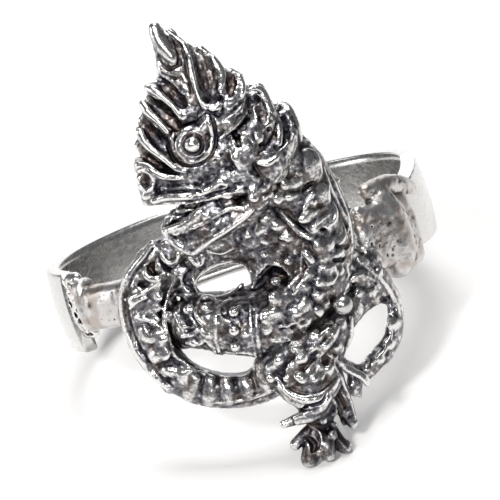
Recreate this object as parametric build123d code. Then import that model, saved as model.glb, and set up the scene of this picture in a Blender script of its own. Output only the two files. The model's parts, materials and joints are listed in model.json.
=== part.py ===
"""A silver dragon ring: a crested serpent dragon with its tail coiled under it, soldered to a plain band."""
import math
import os
from collections import namedtuple

import numpy as np
from build123d import *

# Driving dimensions, in millimetres and degrees
BORE_DIAMETER = 18.8     # inside of the band, for the finger
BAND_WALL = 0.75         # the polished strip
BAND_WIDTH = 4.3         # along the finger
BAND_CROWN = 0.15        # how far the strip's outside swells at its middle
BAND_ROLL = 3.0          # degrees: the band is soldered on with its right side this much higher
FILED = 11.0             # degrees: the strip's top is filed down this steeply towards the right collar
NECK_CROWN = 0.25        # swell of the collars and necks outside
FIGURE = 10.0            # from the middle of the band down to the soles: the dragon's tables follow it
HEAD_LIFT = 3.15         # the head's middle plane, out from the bore
FINGER_GAP = 0.15        # the dragon stays this far outside the bore
PEARL = 0.98             # diameter of the ball beside the hip
EYE = 0.62               # diameter of the eyeball
STUD = 0.50              # diameter of the belt's studs
FACET = 0.37             # edge of the cast figure's facets
SOFT = 0.45              # rounding where one form of the casting grows out of another
CRISP = 0.12             # rounding where a form is set on another
EDGE = 0.22              # rounding of the band's rims
NEAREST = 0.1            # how near a facet's corner may come to a grid line, in grid steps
ROUNDED = 0.3            # most of a bar's wall or height that its rounding may take

# Worked-out sizes
BORE = BORE_DIAMETER / 2
BELOW = -1.12            # the grid's reach in shares of FIGURE, downwards and upwards
ABOVE = 1.44
ASIDE = 0.78
FAR = 2.0                # distance noted where nothing is near

# The band and its soldered ends. Each bar runs between two angles in degrees from the front, positive to
# the right. Its wall is in walls of the band, and its height and its rise above the band's middle in
# widths of the band.
Bar = namedtuple("Bar", "start end wall height rise")
STRIP = Bar(60, 293, 1.00, 1.00, 0.00)
LEFT_RECESS = Bar(-68, -59, 0.80, 0.85, 0.08)
LEFT_COLLAR = Bar(-60, -54, 1.60, 0.72, 0.10)
LEFT_NECK = Bar(-55, -35, 1.35, 0.54, 0.06)
RIGHT_COLLAR = Bar(48, 61, 1.95, 1.00, -0.19)
RIGHT_NECK = Bar(35, 49, 1.75, 0.80, -0.13)

# Tubes of the dragon. Lengths are shares of FIGURE: across to the right, up along the finger from the
# band's middle, lift out from the bore to the tube's middle, and the tube's radius.
Ring = namedtuple("Ring", "across up lift radius")
BODY = [
    (-0.405, -0.130, 0.120, 0.075),
    (-0.330, -0.160, 0.150, 0.125),
    (-0.220, -0.190, 0.170, 0.140),
    (-0.060, -0.235, 0.185, 0.160),
    (0.110, -0.230, 0.190, 0.165),
    (0.250, -0.175, 0.190, 0.165),
    (0.350, -0.060, 0.190, 0.165),
    (0.405, 0.080, 0.200, 0.165),
    (0.418, 0.220, 0.220, 0.158),
    (0.395, 0.390, 0.260, 0.145),
    (0.355, 0.520, 0.290, 0.138),
    (0.290, 0.600, 0.310, 0.130),
]
TAIL = [
    (-0.240, 0.215, 0.095, 0.060),
    (-0.360, 0.215, 0.115, 0.080),
    (-0.475, 0.140, 0.120, 0.100),
    (-0.548, 0.030, 0.125, 0.112),
    (-0.580, -0.090, 0.125, 0.110),
    (-0.572, -0.220, 0.125, 0.106),
    (-0.515, -0.355, 0.125, 0.106),
    (-0.420, -0.460, 0.125, 0.102),
    (-0.300, -0.525, 0.128, 0.096),
    (-0.160, -0.550, 0.130, 0.096),
    (-0.010, -0.535, 0.132, 0.096),
    (0.130, -0.490, 0.132, 0.096),
    (0.270, -0.425, 0.125, 0.088),
    (0.390, -0.360, 0.115, 0.080),
    (0.490, -0.290, 0.105, 0.072),
    (0.570, -0.215, 0.100, 0.070),
    (0.620, -0.120, 0.100, 0.066),
]
LOOP = [
    (0.600, -0.190, 0.100, 0.055),
    (0.648, -0.290, 0.090, 0.042),
    (0.660, -0.390, 0.090, 0.044),
    (0.640, -0.480, 0.095, 0.048),
    (0.585, -0.560, 0.100, 0.050),
    (0.510, -0.615, 0.105, 0.050),
    (0.440, -0.645, 0.110, 0.046),
    (0.385, -0.610, 0.115, 0.034),
    (0.325, -0.545, 0.125, 0.034),
    (0.260, -0.495, 0.135, 0.040),
]
FIN = [
    (0.400, -0.640, 0.120, 0.045),
    (0.375, -0.700, 0.130, 0.040),
    (0.388, -0.752, 0.130, 0.014),
]
LEG = [
    (0.150, -0.500, 0.170, 0.100),
    (0.160, -0.620, 0.215, 0.110),
    (0.165, -0.720, 0.225, 0.095),
    (0.165, -0.800, 0.220, 0.065),
    (0.165, -0.880, 0.220, 0.060),
]
CHEST = [
    (-0.240, 0.150, 0.110, 0.060),
    (-0.130, 0.165, 0.135, 0.080),
    (0.020, 0.190, 0.155, 0.105),
    (0.170, 0.190, 0.165, 0.125),
    (0.300, 0.120, 0.170, 0.130),
]
LAP = [
    (-0.395, -0.240, 0.090, 0.060),
    (-0.445, -0.120, 0.090, 0.062),
    (-0.430, 0.020, 0.085, 0.062),
    (-0.330, 0.090, 0.090, 0.060),
    (-0.290, -0.050, 0.110, 0.050),
    (-0.120, -0.100, 0.130, 0.060),
    (0.060, -0.090, 0.140, 0.070),
    (0.130, 0.060, 0.140, 0.110),
    (0.250, 0.000, 0.150, 0.110),
]
THROAT = [
    (0.000, 0.270, 0.130, 0.075),
    (0.140, 0.330, 0.140, 0.090),
    (0.260, 0.380, 0.160, 0.100),
]
WEB = [
    (0.500, -0.060, 0.100, 0.070),
    (0.560, -0.150, 0.100, 0.075),
    (0.620, -0.230, 0.100, 0.060),
]

# Toes and spurs, the same columns. The first and the last toe stand on the floor.
TOES = [
    [(0.140, -0.830, 0.230, 0.050), (0.100, -0.890, 0.250, 0.052), (0.062, -0.960, 0.260, 0.045)],
    [(0.170, -0.850, 0.230, 0.050), (0.165, -0.910, 0.270, 0.046), (0.158, -0.960, 0.285, 0.036)],
    [(0.190, -0.850, 0.225, 0.045), (0.220, -0.920, 0.245, 0.040), (0.252, -0.957, 0.255, 0.036)],
]
SPURS = [
    [(0.120, -0.815, 0.230, 0.034), (0.010, -0.872, 0.255, 0.030)],
    [(0.090, -0.745, 0.250, 0.034), (-0.020, -0.756, 0.265, 0.024)],
    [(0.270, -0.560, 0.170, 0.060), (0.280, -0.680, 0.190, 0.062), (0.300, -0.790, 0.190, 0.045),
     (0.318, -0.860, 0.200, 0.026)],
]
CUFFS = [
    [(0.022, -0.560, 0.300, 0.030), (0.060, -0.622, 0.315, 0.036), (0.120, -0.668, 0.330, 0.038),
     (0.195, -0.678, 0.325, 0.038), (0.260, -0.645, 0.285, 0.036), (0.300, -0.615, 0.230, 0.030)],
    [(0.055, -0.750, 0.290, 0.026), (0.115, -0.742, 0.310, 0.032), (0.180, -0.732, 0.305, 0.034),
     (0.232, -0.690, 0.275, 0.030)],
]

# The head and the crest. Lengths are shares of FIGURE again: side is out from the head's middle plane,
# to both sides alike, and depth is the tube's half thickness that way over its radius.
HeadRing = namedtuple("HeadRing", "across up side radius")
SKULL = [
    (-0.350, 0.590, 0.000, 0.068),
    (-0.250, 0.595, 0.000, 0.095),
    (-0.120, 0.630, 0.000, 0.140),
    (0.030, 0.660, 0.000, 0.180),
    (0.170, 0.640, 0.000, 0.180),
    (0.280, 0.570, 0.000, 0.150),
]
NOSE = [(-0.370, 0.620, 0.040, 0.048), (-0.365, 0.560, 0.045, 0.050), (-0.350, 0.530, 0.040, 0.040)]
UPPER_LIP = [
    (-0.385, 0.525, 0.030, 0.034),
    (-0.280, 0.520, 0.075, 0.040),
    (-0.150, 0.500, 0.110, 0.042),
    (-0.020, 0.495, 0.135, 0.040),
    (0.080, 0.480, 0.150, 0.040),
]
LOWER_JAW = [
    (-0.315, 0.322, 0.000, 0.034),
    (-0.255, 0.280, 0.030, 0.058),
    (-0.140, 0.300, 0.060, 0.068),
    (-0.010, 0.335, 0.085, 0.066),
    (0.090, 0.370, 0.105, 0.066),
    (0.150, 0.420, 0.115, 0.070),
    (0.160, 0.500, 0.120, 0.075),
]
TONGUE = [(-0.300, 0.400, 0.000, 0.030), (-0.190, 0.410, 0.000, 0.062), (-0.060, 0.420, 0.000, 0.080),
          (0.080, 0.440, 0.000, 0.110)]
BROW = [(-0.200, 0.770, 0.115, 0.034), (-0.120, 0.835, 0.130, 0.034), (-0.020, 0.850, 0.145, 0.036),
        (0.020, 0.770, 0.165, 0.034)]
CREST = [
    (-0.125, 1.330, 0.000, 0.034),
    (-0.105, 1.230, 0.000, 0.062),
    (-0.055, 1.120, 0.000, 0.115),
    (-0.030, 1.000, 0.000, 0.150),
    (-0.025, 0.880, 0.000, 0.170),
    (0.000, 0.760, 0.000, 0.180),
]
# Each flame and petal runs from its root to its tip
FLAMES = [
    [(-0.085, 0.850, 0.050, 0.062), (-0.150, 0.967, 0.045, 0.050), (-0.217, 1.055, 0.018, 0.040)],
    [(-0.150, 0.780, 0.050, 0.062), (-0.215, 0.880, 0.050, 0.050), (-0.262, 0.968, 0.020, 0.040)],
    [(-0.180, 0.670, 0.050, 0.056), (-0.265, 0.750, 0.050, 0.050), (-0.317, 0.855, 0.018, 0.042)],
    [(-0.215, 0.615, 0.050, 0.050), (-0.310, 0.655, 0.047, 0.045), (-0.375, 0.700, 0.020, 0.042)],
]
PETALS = [
    [(0.040, 0.840, 0.090, 0.090), (0.105, 0.970, 0.060, 0.054), (0.095, 1.122, 0.020, 0.034)],
    [(0.100, 0.820, 0.100, 0.080), (0.176, 0.920, 0.075, 0.056), (0.193, 0.991, 0.050, 0.035)],
    [(0.150, 0.660, 0.120, 0.110), (0.257, 0.760, 0.090, 0.078), (0.289, 0.870, 0.050, 0.038)],
    [(0.250, 0.560, 0.110, 0.110), (0.348, 0.650, 0.085, 0.073), (0.381, 0.755, 0.050, 0.036)],
]
# Thin plates of the casting that join the flames, and the petals, to each other
LEAVES = [
    [(-0.085, 1.090, 0.000, 0.080), (-0.155, 1.010, 0.000, 0.092), (-0.210, 0.925, 0.000, 0.095),
     (-0.260, 0.830, 0.000, 0.095), (-0.290, 0.750, 0.000, 0.085), (-0.310, 0.690, 0.000, 0.060)],
    [(0.030, 1.165, 0.000, 0.050), (0.050, 1.090, 0.000, 0.080), (0.050, 0.980, 0.000, 0.090),
     (0.050, 0.880, 0.000, 0.100)],
    [(0.175, 0.970, 0.030, 0.050), (0.165, 0.890, 0.050, 0.080)],
    [(0.262, 0.850, 0.040, 0.060), (0.270, 0.760, 0.060, 0.085), (0.270, 0.660, 0.080, 0.090)],
]
CREST_DEPTH = 0.62       # thickness of the crest over its width
LEAF_DEPTH = 0.40        # thickness of the plates over their width

# Gaps that go right through: across, up, half width, half height in shares of FIGURE, turn in degrees
Gap = namedtuple("Gap", "across up half_width half_height turn")
GAPS = [
    (-0.133, 0.024, 0.118, 0.054, 8.0),
    (-0.250, -0.395, 0.150, 0.052, -24.0),
    (0.475, -0.455, 0.132, 0.062, 35.0),
]

# Middles of the balls: across, up and lift in shares of FIGURE. The eyes' lift is out from the head's plane.
Ball = namedtuple("Ball", "across up lift")
EYE_PLACE = Ball(-0.100, 0.728, 0.165)
PEARL_PLACE = Ball(0.423, -0.245, 0.245)
STUD_PLACES = [Ball(-0.112, -0.150, 0.297), Ball(-0.124, -0.241, 0.311), Ball(-0.145, -0.322, 0.264)]

Layer = namedtuple("Layer", "where depth")


class Clay:
    """The figure as signed distances, negative inside, on a grid of across, lift and up."""

    def __init__(self, low, high, cell):
        self.cell = cell
        self.axes = [np.arange(a, b + cell, cell) for a, b in zip(low, high)]
        self.depth = np.full([len(axis) for axis in self.axes], FAR)

    def window(self, low, high):
        """The part of the grid inside a box, and its coordinates."""
        where = tuple(slice(*np.searchsorted(axis, (a, b))) for axis, a, b in zip(self.axes, low, high))
        grid = np.meshgrid(*[axis[cut] for axis, cut in zip(self.axes, where)], indexing="ij", sparse=True)
        return where, grid

    def tube(self, rows, flat=1.0):
        """A tube through rows of across, up, lift and radius, its depth squeezed by flat."""
        line = smooth_line(np.array(rows) * FIGURE)[:, [0, 2, 1, 3]]
        reach = line[:, 3:] + FAR
        where, _ = self.window((line[:, :3] - reach).min(0), (line[:, :3] + reach).max(0))
        layer = np.full(self.depth.shape, FAR)
        for start, end in zip(line, line[1:]):
            room = max(start[3], end[3]) + FAR
            near, (a, b, c) = self.window(np.minimum(start, end)[:3] - room, np.maximum(start, end)[:3] + room)
            run = (end - start)[:3] / (1, flat, 1)
            off = (a - start[0], (b - start[1]) / flat, c - start[2])
            along = np.clip(sum(o * r for o, r in zip(off, run)) / (run @ run), 0, 1)
            gap = np.sqrt(sum((o - along * r) ** 2 for o, r in zip(off, run)))
            gap = (gap - start[3] - along * (end[3] - start[3])) * min(1, flat)
            layer[near] = np.minimum(layer[near], gap)
        return Layer(where, layer[where])

    def ball(self, place, diameter, base=0.0):
        """A ball at across, up and lift, with base added to its lift."""
        middle = np.array((place.across * FIGURE, base + place.lift * FIGURE, place.up * FIGURE))
        room = diameter / 2 + FAR
        where, (a, b, c) = self.window(middle - room, middle + room)
        gap = np.sqrt((a - middle[0]) ** 2 + (b - middle[1]) ** 2 + (c - middle[2]) ** 2)
        return Layer(where, gap - diameter / 2)

    def oval(self, hole):
        """An oval hole right through, turned in the plane of the photographed face."""
        size = FIGURE * np.array((hole.half_width, hole.half_height))
        room = size.max() + FAR
        x, z = hole.across * FIGURE, hole.up * FIGURE
        where, (a, b, c) = self.window((x - room, -FAR, z - room), (x + room, FIGURE, z + room))
        angle = math.radians(hole.turn)
        along = (a - x) * math.cos(angle) + (c - z) * math.sin(angle)
        beside = (c - z) * math.cos(angle) - (a - x) * math.sin(angle)
        gap = (np.hypot(along / size[0], beside / size[1]) - 1) * size.min() + 0 * b
        return Layer(where, gap)

    def add(self, layer, blend=SOFT):
        """Grows a form onto the figure, rounded where they meet."""
        old = self.depth[layer.where]
        mix = np.clip(0.5 + (layer.depth - old) / (2 * blend), 0, 1)
        self.depth[layer.where] = layer.depth + (old - layer.depth) * mix - blend * mix * (1 - mix)

    def cut(self, layer, blend=CRISP):
        """Takes a form away from the figure."""
        old = self.depth[layer.where]
        mix = np.clip(0.5 - (layer.depth + old) / (2 * blend), 0, 1)
        self.depth[layer.where] = old + (-layer.depth - old) * mix + blend * mix * (1 - mix)


def smooth_line(rows, steps=5):
    """Points on the smooth line through the rows, with the columns blended alike."""
    padded = np.vstack([2 * rows[0] - rows[1], rows, 2 * rows[-1] - rows[-2]])
    points = []
    for p, q, r, s in zip(padded, padded[1:], padded[2:], padded[3:]):
        for t in np.arange(steps) / steps:
            points.append(0.5 * (2 * q + (r - p) * t + (2 * p - 5 * q + 4 * r - s) * t ** 2
                                 + (3 * q - p - 3 * r + s) * t ** 3))
    return np.array(points + [rows[-1]])


def both_sides(rows):
    """The rings of a head form, once for each side of the head's middle plane."""
    share = HEAD_LIFT / FIGURE
    rings = [HeadRing(*row) for row in rows]
    sides = (-1, 1) if any(ring.side for ring in rings) else (1,)
    return [[Ring(ring.across, ring.up, share + side * ring.side, ring.radius) for ring in rings]
            for side in sides]


def model_body(clay):
    """The trunk with its neck, the chest, the tail with its loop and fin, and the leg with its foot."""
    for rows in (TAIL, LOOP, WEB, LAP, THROAT, CHEST, BODY):
        clay.add(clay.tube(rows))
    clay.add(clay.tube(FIN), CRISP)
    clay.add(clay.tube(LEG))
    for rows in TOES + SPURS + CUFFS:
        clay.add(clay.tube(rows), CRISP)


def model_head(clay):
    """The skull, the jaws with the tongue between them, the brows and the crest of flames."""
    for rows in (SKULL, TONGUE):
        for half in both_sides(rows):
            clay.add(clay.tube(half))
    for half in both_sides(CREST):
        clay.add(clay.tube(half, CREST_DEPTH))
    for rows in LEAVES:
        for half in both_sides(rows):
            clay.add(clay.tube(half, LEAF_DEPTH), CRISP)
    for rows in FLAMES + PETALS:
        for half in both_sides(rows):
            clay.add(clay.tube(half), CRISP)
    for rows in (NOSE, UPPER_LIP, LOWER_JAW, BROW):
        for half in both_sides(rows):
            clay.add(clay.tube(half), CRISP)


def model_beads(clay):
    """The eyes, the studs on the belt and the pearl beside the hip."""
    for eye in (EYE_PLACE, EYE_PLACE._replace(lift=-EYE_PLACE.lift)):
        clay.add(clay.ball(eye, EYE, HEAD_LIFT), CRISP)
    for stud in STUD_PLACES:
        clay.add(clay.ball(stud, STUD), CRISP)
    clay.add(clay.ball(PEARL_PLACE, PEARL), CRISP)


def keep_bore(clay):
    """Keeps the dragon clear of the finger, whose axis leans with the band."""
    across, lift, up = np.meshgrid(*clay.axes, indexing="ij", sparse=True)
    lean = math.radians(BAND_ROLL)
    beside = across * math.cos(lean) + up * math.sin(lean)
    ahead = np.maximum((BORE + lift) ** 2 - across ** 2, 0)
    clay.depth = np.maximum(clay.depth, BORE + FINGER_GAP - np.sqrt(beside ** 2 + ahead))


def model_figure():
    """The whole cast dragon as a field of distances, with its gaps open and the bore kept clear."""
    low = (-ASIDE * FIGURE, -2 * FACET, BELOW * FIGURE)
    high = (ASIDE * FIGURE, HEAD_LIFT + 0.30 * FIGURE, ABOVE * FIGURE)
    clay = Clay(low, high, FACET)
    model_body(clay)
    model_head(clay)
    for gap in GAPS:
        clay.cut(clay.oval(Gap(*gap)))
    model_beads(clay)
    keep_bore(clay)
    return clay


def corner_tables():
    """The corners of a cell, and which of its 256 fillings would pinch the surface."""
    corners = [(i, j, k) for i in (0, 1) for j in (0, 1) for k in (0, 1)]

    def pieces(members):
        """How many groups joined by cell edges a set of corners makes."""
        left, count = set(members), 0
        while left:
            count += 1
            queue = [left.pop()]
            while queue:
                at = queue.pop()
                beside = {m for m in left if sum(abs(p - q) for p, q in zip(at, m)) == 1}
                left -= beside
                queue.extend(beside)
        return count

    pinched = np.zeros(256, bool)
    for code in range(256):
        inside = [c for n, c in enumerate(corners) if code >> n & 1]
        outside = [c for n, c in enumerate(corners) if not code >> n & 1]
        pinched[code] = pieces(inside) > 1 or pieces(outside) > 1
    return corners, pinched


def close_pinches(depth):
    """Fills the few grid points round which the surface would touch itself."""
    corners, pinched = corner_tables()
    shape = [n - 1 for n in depth.shape]
    while True:
        code = np.zeros(shape, int)
        for n, (i, j, k) in enumerate(corners):
            code += (depth[i:i + shape[0], j:j + shape[1], k:k + shape[2]] < 0).astype(int) << n
        cells = np.argwhere(pinched[code])
        if not len(cells):
            return
        around = cells[:, None, :] + np.array(corners)[None]
        values = depth[around[..., 0], around[..., 1], around[..., 2]]
        nearest = np.where(values > 0, values, FAR * 2).argmin(1)
        spots = around[np.arange(len(cells)), nearest]
        depth[spots[:, 0], spots[:, 1], spots[:, 2]] = -FACET * NEAREST


def close_voids(depth):
    """Fills the few grid points of air that the metal would shut in."""
    air = depth >= 0
    reached = np.zeros(depth.shape, bool)
    reached[0, 0, 0] = True
    count = 0
    while reached.sum() > count:
        count = reached.sum()
        for axis in range(3):
            reached |= np.roll(reached, 1, axis) | np.roll(reached, -1, axis)
            reached &= air
    depth[air & ~reached] = -FACET * NEAREST


def facet_surface(clay):
    """The surface as one point in each cell it crosses, and triangles between the points."""
    depth = clay.depth
    close_pinches(depth)
    close_voids(depth)
    shape = [n - 1 for n in depth.shape]
    total, count = np.zeros(shape + [3]), np.zeros(shape)
    quads = []
    for axis in range(3):
        ahead = [slice(None)] * 3
        behind = [slice(None)] * 3
        ahead[axis], behind[axis] = slice(1, None), slice(None, -1)
        first, second = depth[tuple(behind)], depth[tuple(ahead)]
        crossed = np.argwhere((first < 0) != (second < 0))
        one, two = first[tuple(crossed.T)], second[tuple(crossed.T)]
        spot = crossed.astype(float)
        spot[:, axis] += np.clip(one / (one - two), NEAREST, 1 - NEAREST)
        side, over = [n for n in range(3) if n != axis]
        ring = []
        for back_side, back_over in ((1, 1), (0, 1), (0, 0), (1, 0)):
            cell = crossed.copy()
            cell[:, side] -= back_side
            cell[:, over] -= back_over
            np.add.at(total, tuple(cell.T), spot)
            np.add.at(count, tuple(cell.T), 1)
            ring.append(np.ravel_multi_index(tuple(cell.T), shape))
        ring = np.stack(ring, 1)
        turned = (one < 0) != (axis == 1)
        ring[turned] = ring[turned][:, ::-1]
        quads.append(ring)
    quads = np.concatenate(quads)
    used, quads = np.unique(quads, return_inverse=True)
    quads = quads.reshape(-1, 4)
    points = total.reshape(-1, 3)[used] / count.reshape(-1, 1)[used]
    points = np.array([axis[0] for axis in clay.axes]) + points * clay.cell
    points = np.stack([points[:, 0], -np.sqrt((BORE + points[:, 1]) ** 2 - points[:, 0] ** 2), points[:, 2]], 1)
    shorter = (np.linalg.norm(points[quads[:, 0]] - points[quads[:, 2]], axis=1)
               < np.linalg.norm(points[quads[:, 1]] - points[quads[:, 3]], axis=1))
    a, b, c, d = quads.T
    first = np.where(shorter[:, None], np.stack([a, b, c], 1), np.stack([a, b, d], 1))
    second = np.where(shorter[:, None], np.stack([a, c, d], 1), np.stack([b, c, d], 1))
    return points, np.concatenate([first, second])


def cast_figure():
    """The dragon as one faceted solid."""
    points, triangles = facet_surface(model_figure())
    corners = [Vector(*point) for point in points]
    faces = [Face(Wire.make_polygon([corners[n] for n in triangle])) for triangle in triangles]
    return Solid(Shell(faces))


def turned_bar(bar, crown, rounding):
    """A bent bar round the finger, reaching into the bore to be."""
    wall, height, rise = bar.wall * BAND_WALL, bar.height * BAND_WIDTH, bar.rise * BAND_WIDTH
    top, foot = rise + height / 2, rise - height / 2
    inside, outside = BORE - wall, BORE + wall
    with BuildSketch(Plane.XZ) as section:
        with BuildLine():
            Polyline((outside, foot), (inside, foot), (inside, top), (outside, top))
            ThreePointArc((outside, top), (outside + crown, rise), (outside, foot))
        make_face()
        fillet(section.vertices().sort_by(Axis.X)[2:], min(rounding, ROUNDED * wall, ROUNDED * height))
    return Rot(Z=bar.start - 90) * revolve(section.sketch, Axis.Z, bar.end - bar.start)


def soldered_band():
    """The polished strip with its collars and necks, bored for the finger and leaning with it."""
    ends = [turned_bar(bar, NECK_CROWN, SOFT)
            for bar in (LEFT_RECESS, LEFT_COLLAR, LEFT_NECK, RIGHT_COLLAR, RIGHT_NECK)]
    above = Box(BORE, 2 * BORE, BAND_WIDTH, align=(Align.CENTER, Align.MAX, Align.MIN))
    filed = Pos(BORE, 0, BAND_WIDTH / 2) * Rot(X=FILED) * above
    ring = turned_bar(STRIP, BAND_CROWN, EDGE).cut(filed).fuse(*ends) - Cylinder(BORE, FIGURE * 2)
    return Rot(Y=-BAND_ROLL) * ring.solid()


def lowest_rim(tilt):
    """Height of the strip's lowest point over the ring's middle, with the ring tilted back."""
    lean = math.radians(BAND_ROLL)
    sink = math.hypot(math.sin(tilt), math.sin(lean) * math.cos(tilt))
    return -(BORE + BAND_WALL) * sink - BAND_WIDTH / 2 * math.cos(lean) * math.cos(tilt)


def lowest_sole(tilt):
    """Height of the first toe's sole over the ring's middle, with the ring tilted back."""
    toe = Ring(*TOES[0][-1])
    return (BORE + toe.lift * FIGURE) * math.sin(tilt) + (toe.up * math.cos(tilt) - toe.radius) * FIGURE


def rest_tilt():
    """The angle in degrees that puts the soles and the back of the band on the same floor."""
    low, high = 0.0, math.pi / 4
    while high - low > 1 / FIGURE ** 5:
        middle = (low + high) / 2
        if lowest_sole(middle) < lowest_rim(middle):
            low = middle
        else:
            high = middle
    return math.degrees(low)


def dragon_ring():
    """The dragon, its necks and its band as one soldered piece, in its own frame round the finger."""
    return cast_figure().fuse(soldered_band())


def at_rest(ring):
    """The ring as it lies by itself: the soles and the back of the band on the floor."""
    tilted = Rot(X=-rest_tilt()) * ring
    box = tilted.bounding_box()
    return Pos(-box.center().X, -box.center().Y, -box.min.Z) * tilted


def main():
    os.makedirs("parts", exist_ok=True)
    ring = at_rest(dragon_ring())
    export_step(ring, "parts/dragon_ring.step", write_pcurves=False)


main()
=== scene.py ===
"""Dresses the dragon ring: a polished band, pitted solder and an oxidised cast dragon."""
import json
import math
from collections import namedtuple

import bpy
import numpy as np
from mathutils import Matrix, Vector


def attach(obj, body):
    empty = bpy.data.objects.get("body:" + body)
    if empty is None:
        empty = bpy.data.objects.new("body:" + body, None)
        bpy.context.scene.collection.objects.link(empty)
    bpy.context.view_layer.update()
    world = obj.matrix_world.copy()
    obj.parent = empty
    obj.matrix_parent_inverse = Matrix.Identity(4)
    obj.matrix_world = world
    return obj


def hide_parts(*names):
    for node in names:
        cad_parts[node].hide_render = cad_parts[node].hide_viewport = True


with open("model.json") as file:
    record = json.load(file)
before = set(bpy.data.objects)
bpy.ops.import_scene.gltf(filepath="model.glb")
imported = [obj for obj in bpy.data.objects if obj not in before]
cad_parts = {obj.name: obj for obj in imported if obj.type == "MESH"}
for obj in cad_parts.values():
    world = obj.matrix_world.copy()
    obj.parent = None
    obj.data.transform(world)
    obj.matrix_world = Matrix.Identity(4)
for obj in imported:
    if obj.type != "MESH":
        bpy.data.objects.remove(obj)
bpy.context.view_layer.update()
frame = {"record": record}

# Sizes, in millimetres and degrees. The bore, its place and its lean come from the frame.
MM = 0.001
FINGER_HOLE = frame["record"]["mounts"][0]
BORE = FINGER_HOLE["dims"]["r_mm"]
BAND_WIDTH = FINGER_HOLE["dims"]["length_mm"]
RING_CENTRE = np.array(FINGER_HOLE["pos_m"]) / MM
LEAN = math.atan2(FINGER_HOLE["axis"][1], FINGER_HOLE["axis"][2])
BAND_ROLL = math.asin(-FINGER_HOLE["axis"][0])
FIGURE = 10.0            # from the middle of the band down to the soles: the dragon's tables follow it
HEAD_LIFT = 3.15         # the head's middle plane, out from the bore
FINGER_GAP = 0.15        # the dragon stays this far outside the bore
PEARL = 1.02             # diameter of the ball beside the hip
BALL_SIDES = 96
EYE = 0.80               # diameter of the eyeball
STUD = 0.56              # diameter of the belt's studs
SOFT = 0.40              # rounding where one form grows out of another
CRISP = 0.07             # rounding where a form is set on another
FINE = 0.035             # rounding of thin rims and grooves
REACH = 0.8              # how far from a surface its distances are kept
STROKE_REACH = 0.32      # the same for strokes and beads
EYE_HEIGHT = 7.5         # degrees of the camera above the band's plane
HEAD_SEEN_AT = 12.0      # depths before the finger's axis at which places were read off the photograph
BODY_SEEN_AT = 11.0
TINY = 1e-6
LINE_STEPS = 5           # points of a smooth line from row to row
DRAPE_PASSES = 2
EVENED = 5               # points over which a draped line's depth is evened out
NEAREST = 0.05           # how near a mesh point may come to a grid line, in cells
FILLED = 0.02            # how deep a filled grid point lies, in cells

# Edges of the grids' cells, and the grids' corners in thousandths of FIGURE: across, lift and up
HEAD_CELL, TRUNK_CELL, TAIL_CELL, LEG_CELL, COLLAR_CELL = 0.064, 0.068, 0.064, 0.052, 0.055
PARTS = 1000             # the dragon's tables are in thousandths of FIGURE


def shares(table):
    """A table of thousandths as shares of FIGURE."""
    if isinstance(table, (int, float)):
        return table / PARTS
    return [shares(row) for row in table]


HEAD_GRID = shares([(-470, 0, 150), (500, 290, 1410)])
TRUNK_GRID = shares([(-560, -20, -460), (660, 520, 800)])
TAIL_GRID = shares([(-740, -20, -790), (780, 290, 360)])
LEG_GRID = shares([(-160, -20, -1040), (560, 440, -140)])

# Solid forms of the body, as rows of a tube: across to the right, up along the finger, lift out from the
# bore to the tube's middle, radius
BODY = shares([
    (-405, -130, 120, 75), (-330, -160, 150, 125), (-220, -190, 170, 140), (-60, -235, 185, 160),
    (110, -230, 190, 165), (250, -175, 190, 165), (350, -60, 190, 165), (405, 80, 200, 165),
    (418, 220, 220, 158), (395, 390, 260, 145), (355, 520, 290, 138), (290, 600, 310, 130),
])
TAIL = shares([
    (-240, 215, 95, 60), (-360, 215, 115, 80), (-475, 140, 120, 100), (-548, 30, 125, 112),
    (-580, -90, 125, 110), (-572, -220, 125, 106), (-515, -355, 125, 106), (-420, -460, 125, 102),
    (-300, -525, 128, 96), (-160, -550, 130, 96), (-10, -535, 132, 96), (130, -490, 132, 96),
    (270, -425, 125, 88), (390, -360, 115, 80), (490, -290, 105, 72), (570, -215, 100, 70),
    (620, -120, 100, 66),
])
LOOP = shares([
    (610, -190, 100, 55), (668, -290, 90, 42), (682, -390, 90, 44), (658, -482, 95, 48),
    (595, -566, 100, 50), (510, -615, 105, 50), (440, -645, 110, 46), (385, -610, 115, 34),
    (325, -545, 125, 34), (260, -495, 135, 40),
])
FIN = shares([(400, -640, 120, 45), (375, -700, 130, 40), (388, -752, 130, 14)])
LEG = shares([
    (150, -500, 170, 100), (160, -620, 215, 110), (165, -720, 225, 95), (165, -800, 220, 65),
    (165, -880, 220, 60),
])
CHEST = shares([
    (-240, 150, 110, 60), (-130, 165, 135, 80), (20, 190, 155, 105), (170, 190, 165, 125),
    (300, 120, 170, 130),
])
LAP = shares([
    (-395, -240, 90, 60), (-445, -120, 90, 62), (-430, 20, 85, 62), (-330, 90, 90, 60),
    (-290, -50, 110, 50), (-120, -100, 130, 60), (60, -90, 140, 70), (130, 60, 140, 110),
    (250, 0, 150, 110),
])
THROAT = shares([(0, 270, 130, 75), (140, 330, 140, 90), (260, 380, 160, 100)])
THROAT_FILL = shares([
    (-60, 225, 170, 80), (60, 265, 200, 85), (150, 285, 225, 90), (225, 250, 245, 90),
    (275, 170, 250, 85), (300, 80, 220, 85),
])
NAPE_FILL = shares([(200, 420, 290, 95), (270, 400, 300, 105), (340, 350, 290, 100)])
WEB = shares([(500, -60, 100, 70), (560, -150, 100, 75), (620, -230, 100, 60)])
LOOP_WEB = shares([(470, -290, 120, 50), (545, -300, 100, 50), (615, -300, 95, 40)])
TOES = shares([
    [(140, -830, 230, 50), (100, -890, 250, 52), (62, -960, 260, 45)],
    [(170, -850, 230, 50), (165, -910, 270, 46), (158, -960, 285, 36)],
    [(190, -850, 225, 45), (220, -920, 245, 40), (252, -957, 255, 36)],
])
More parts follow.
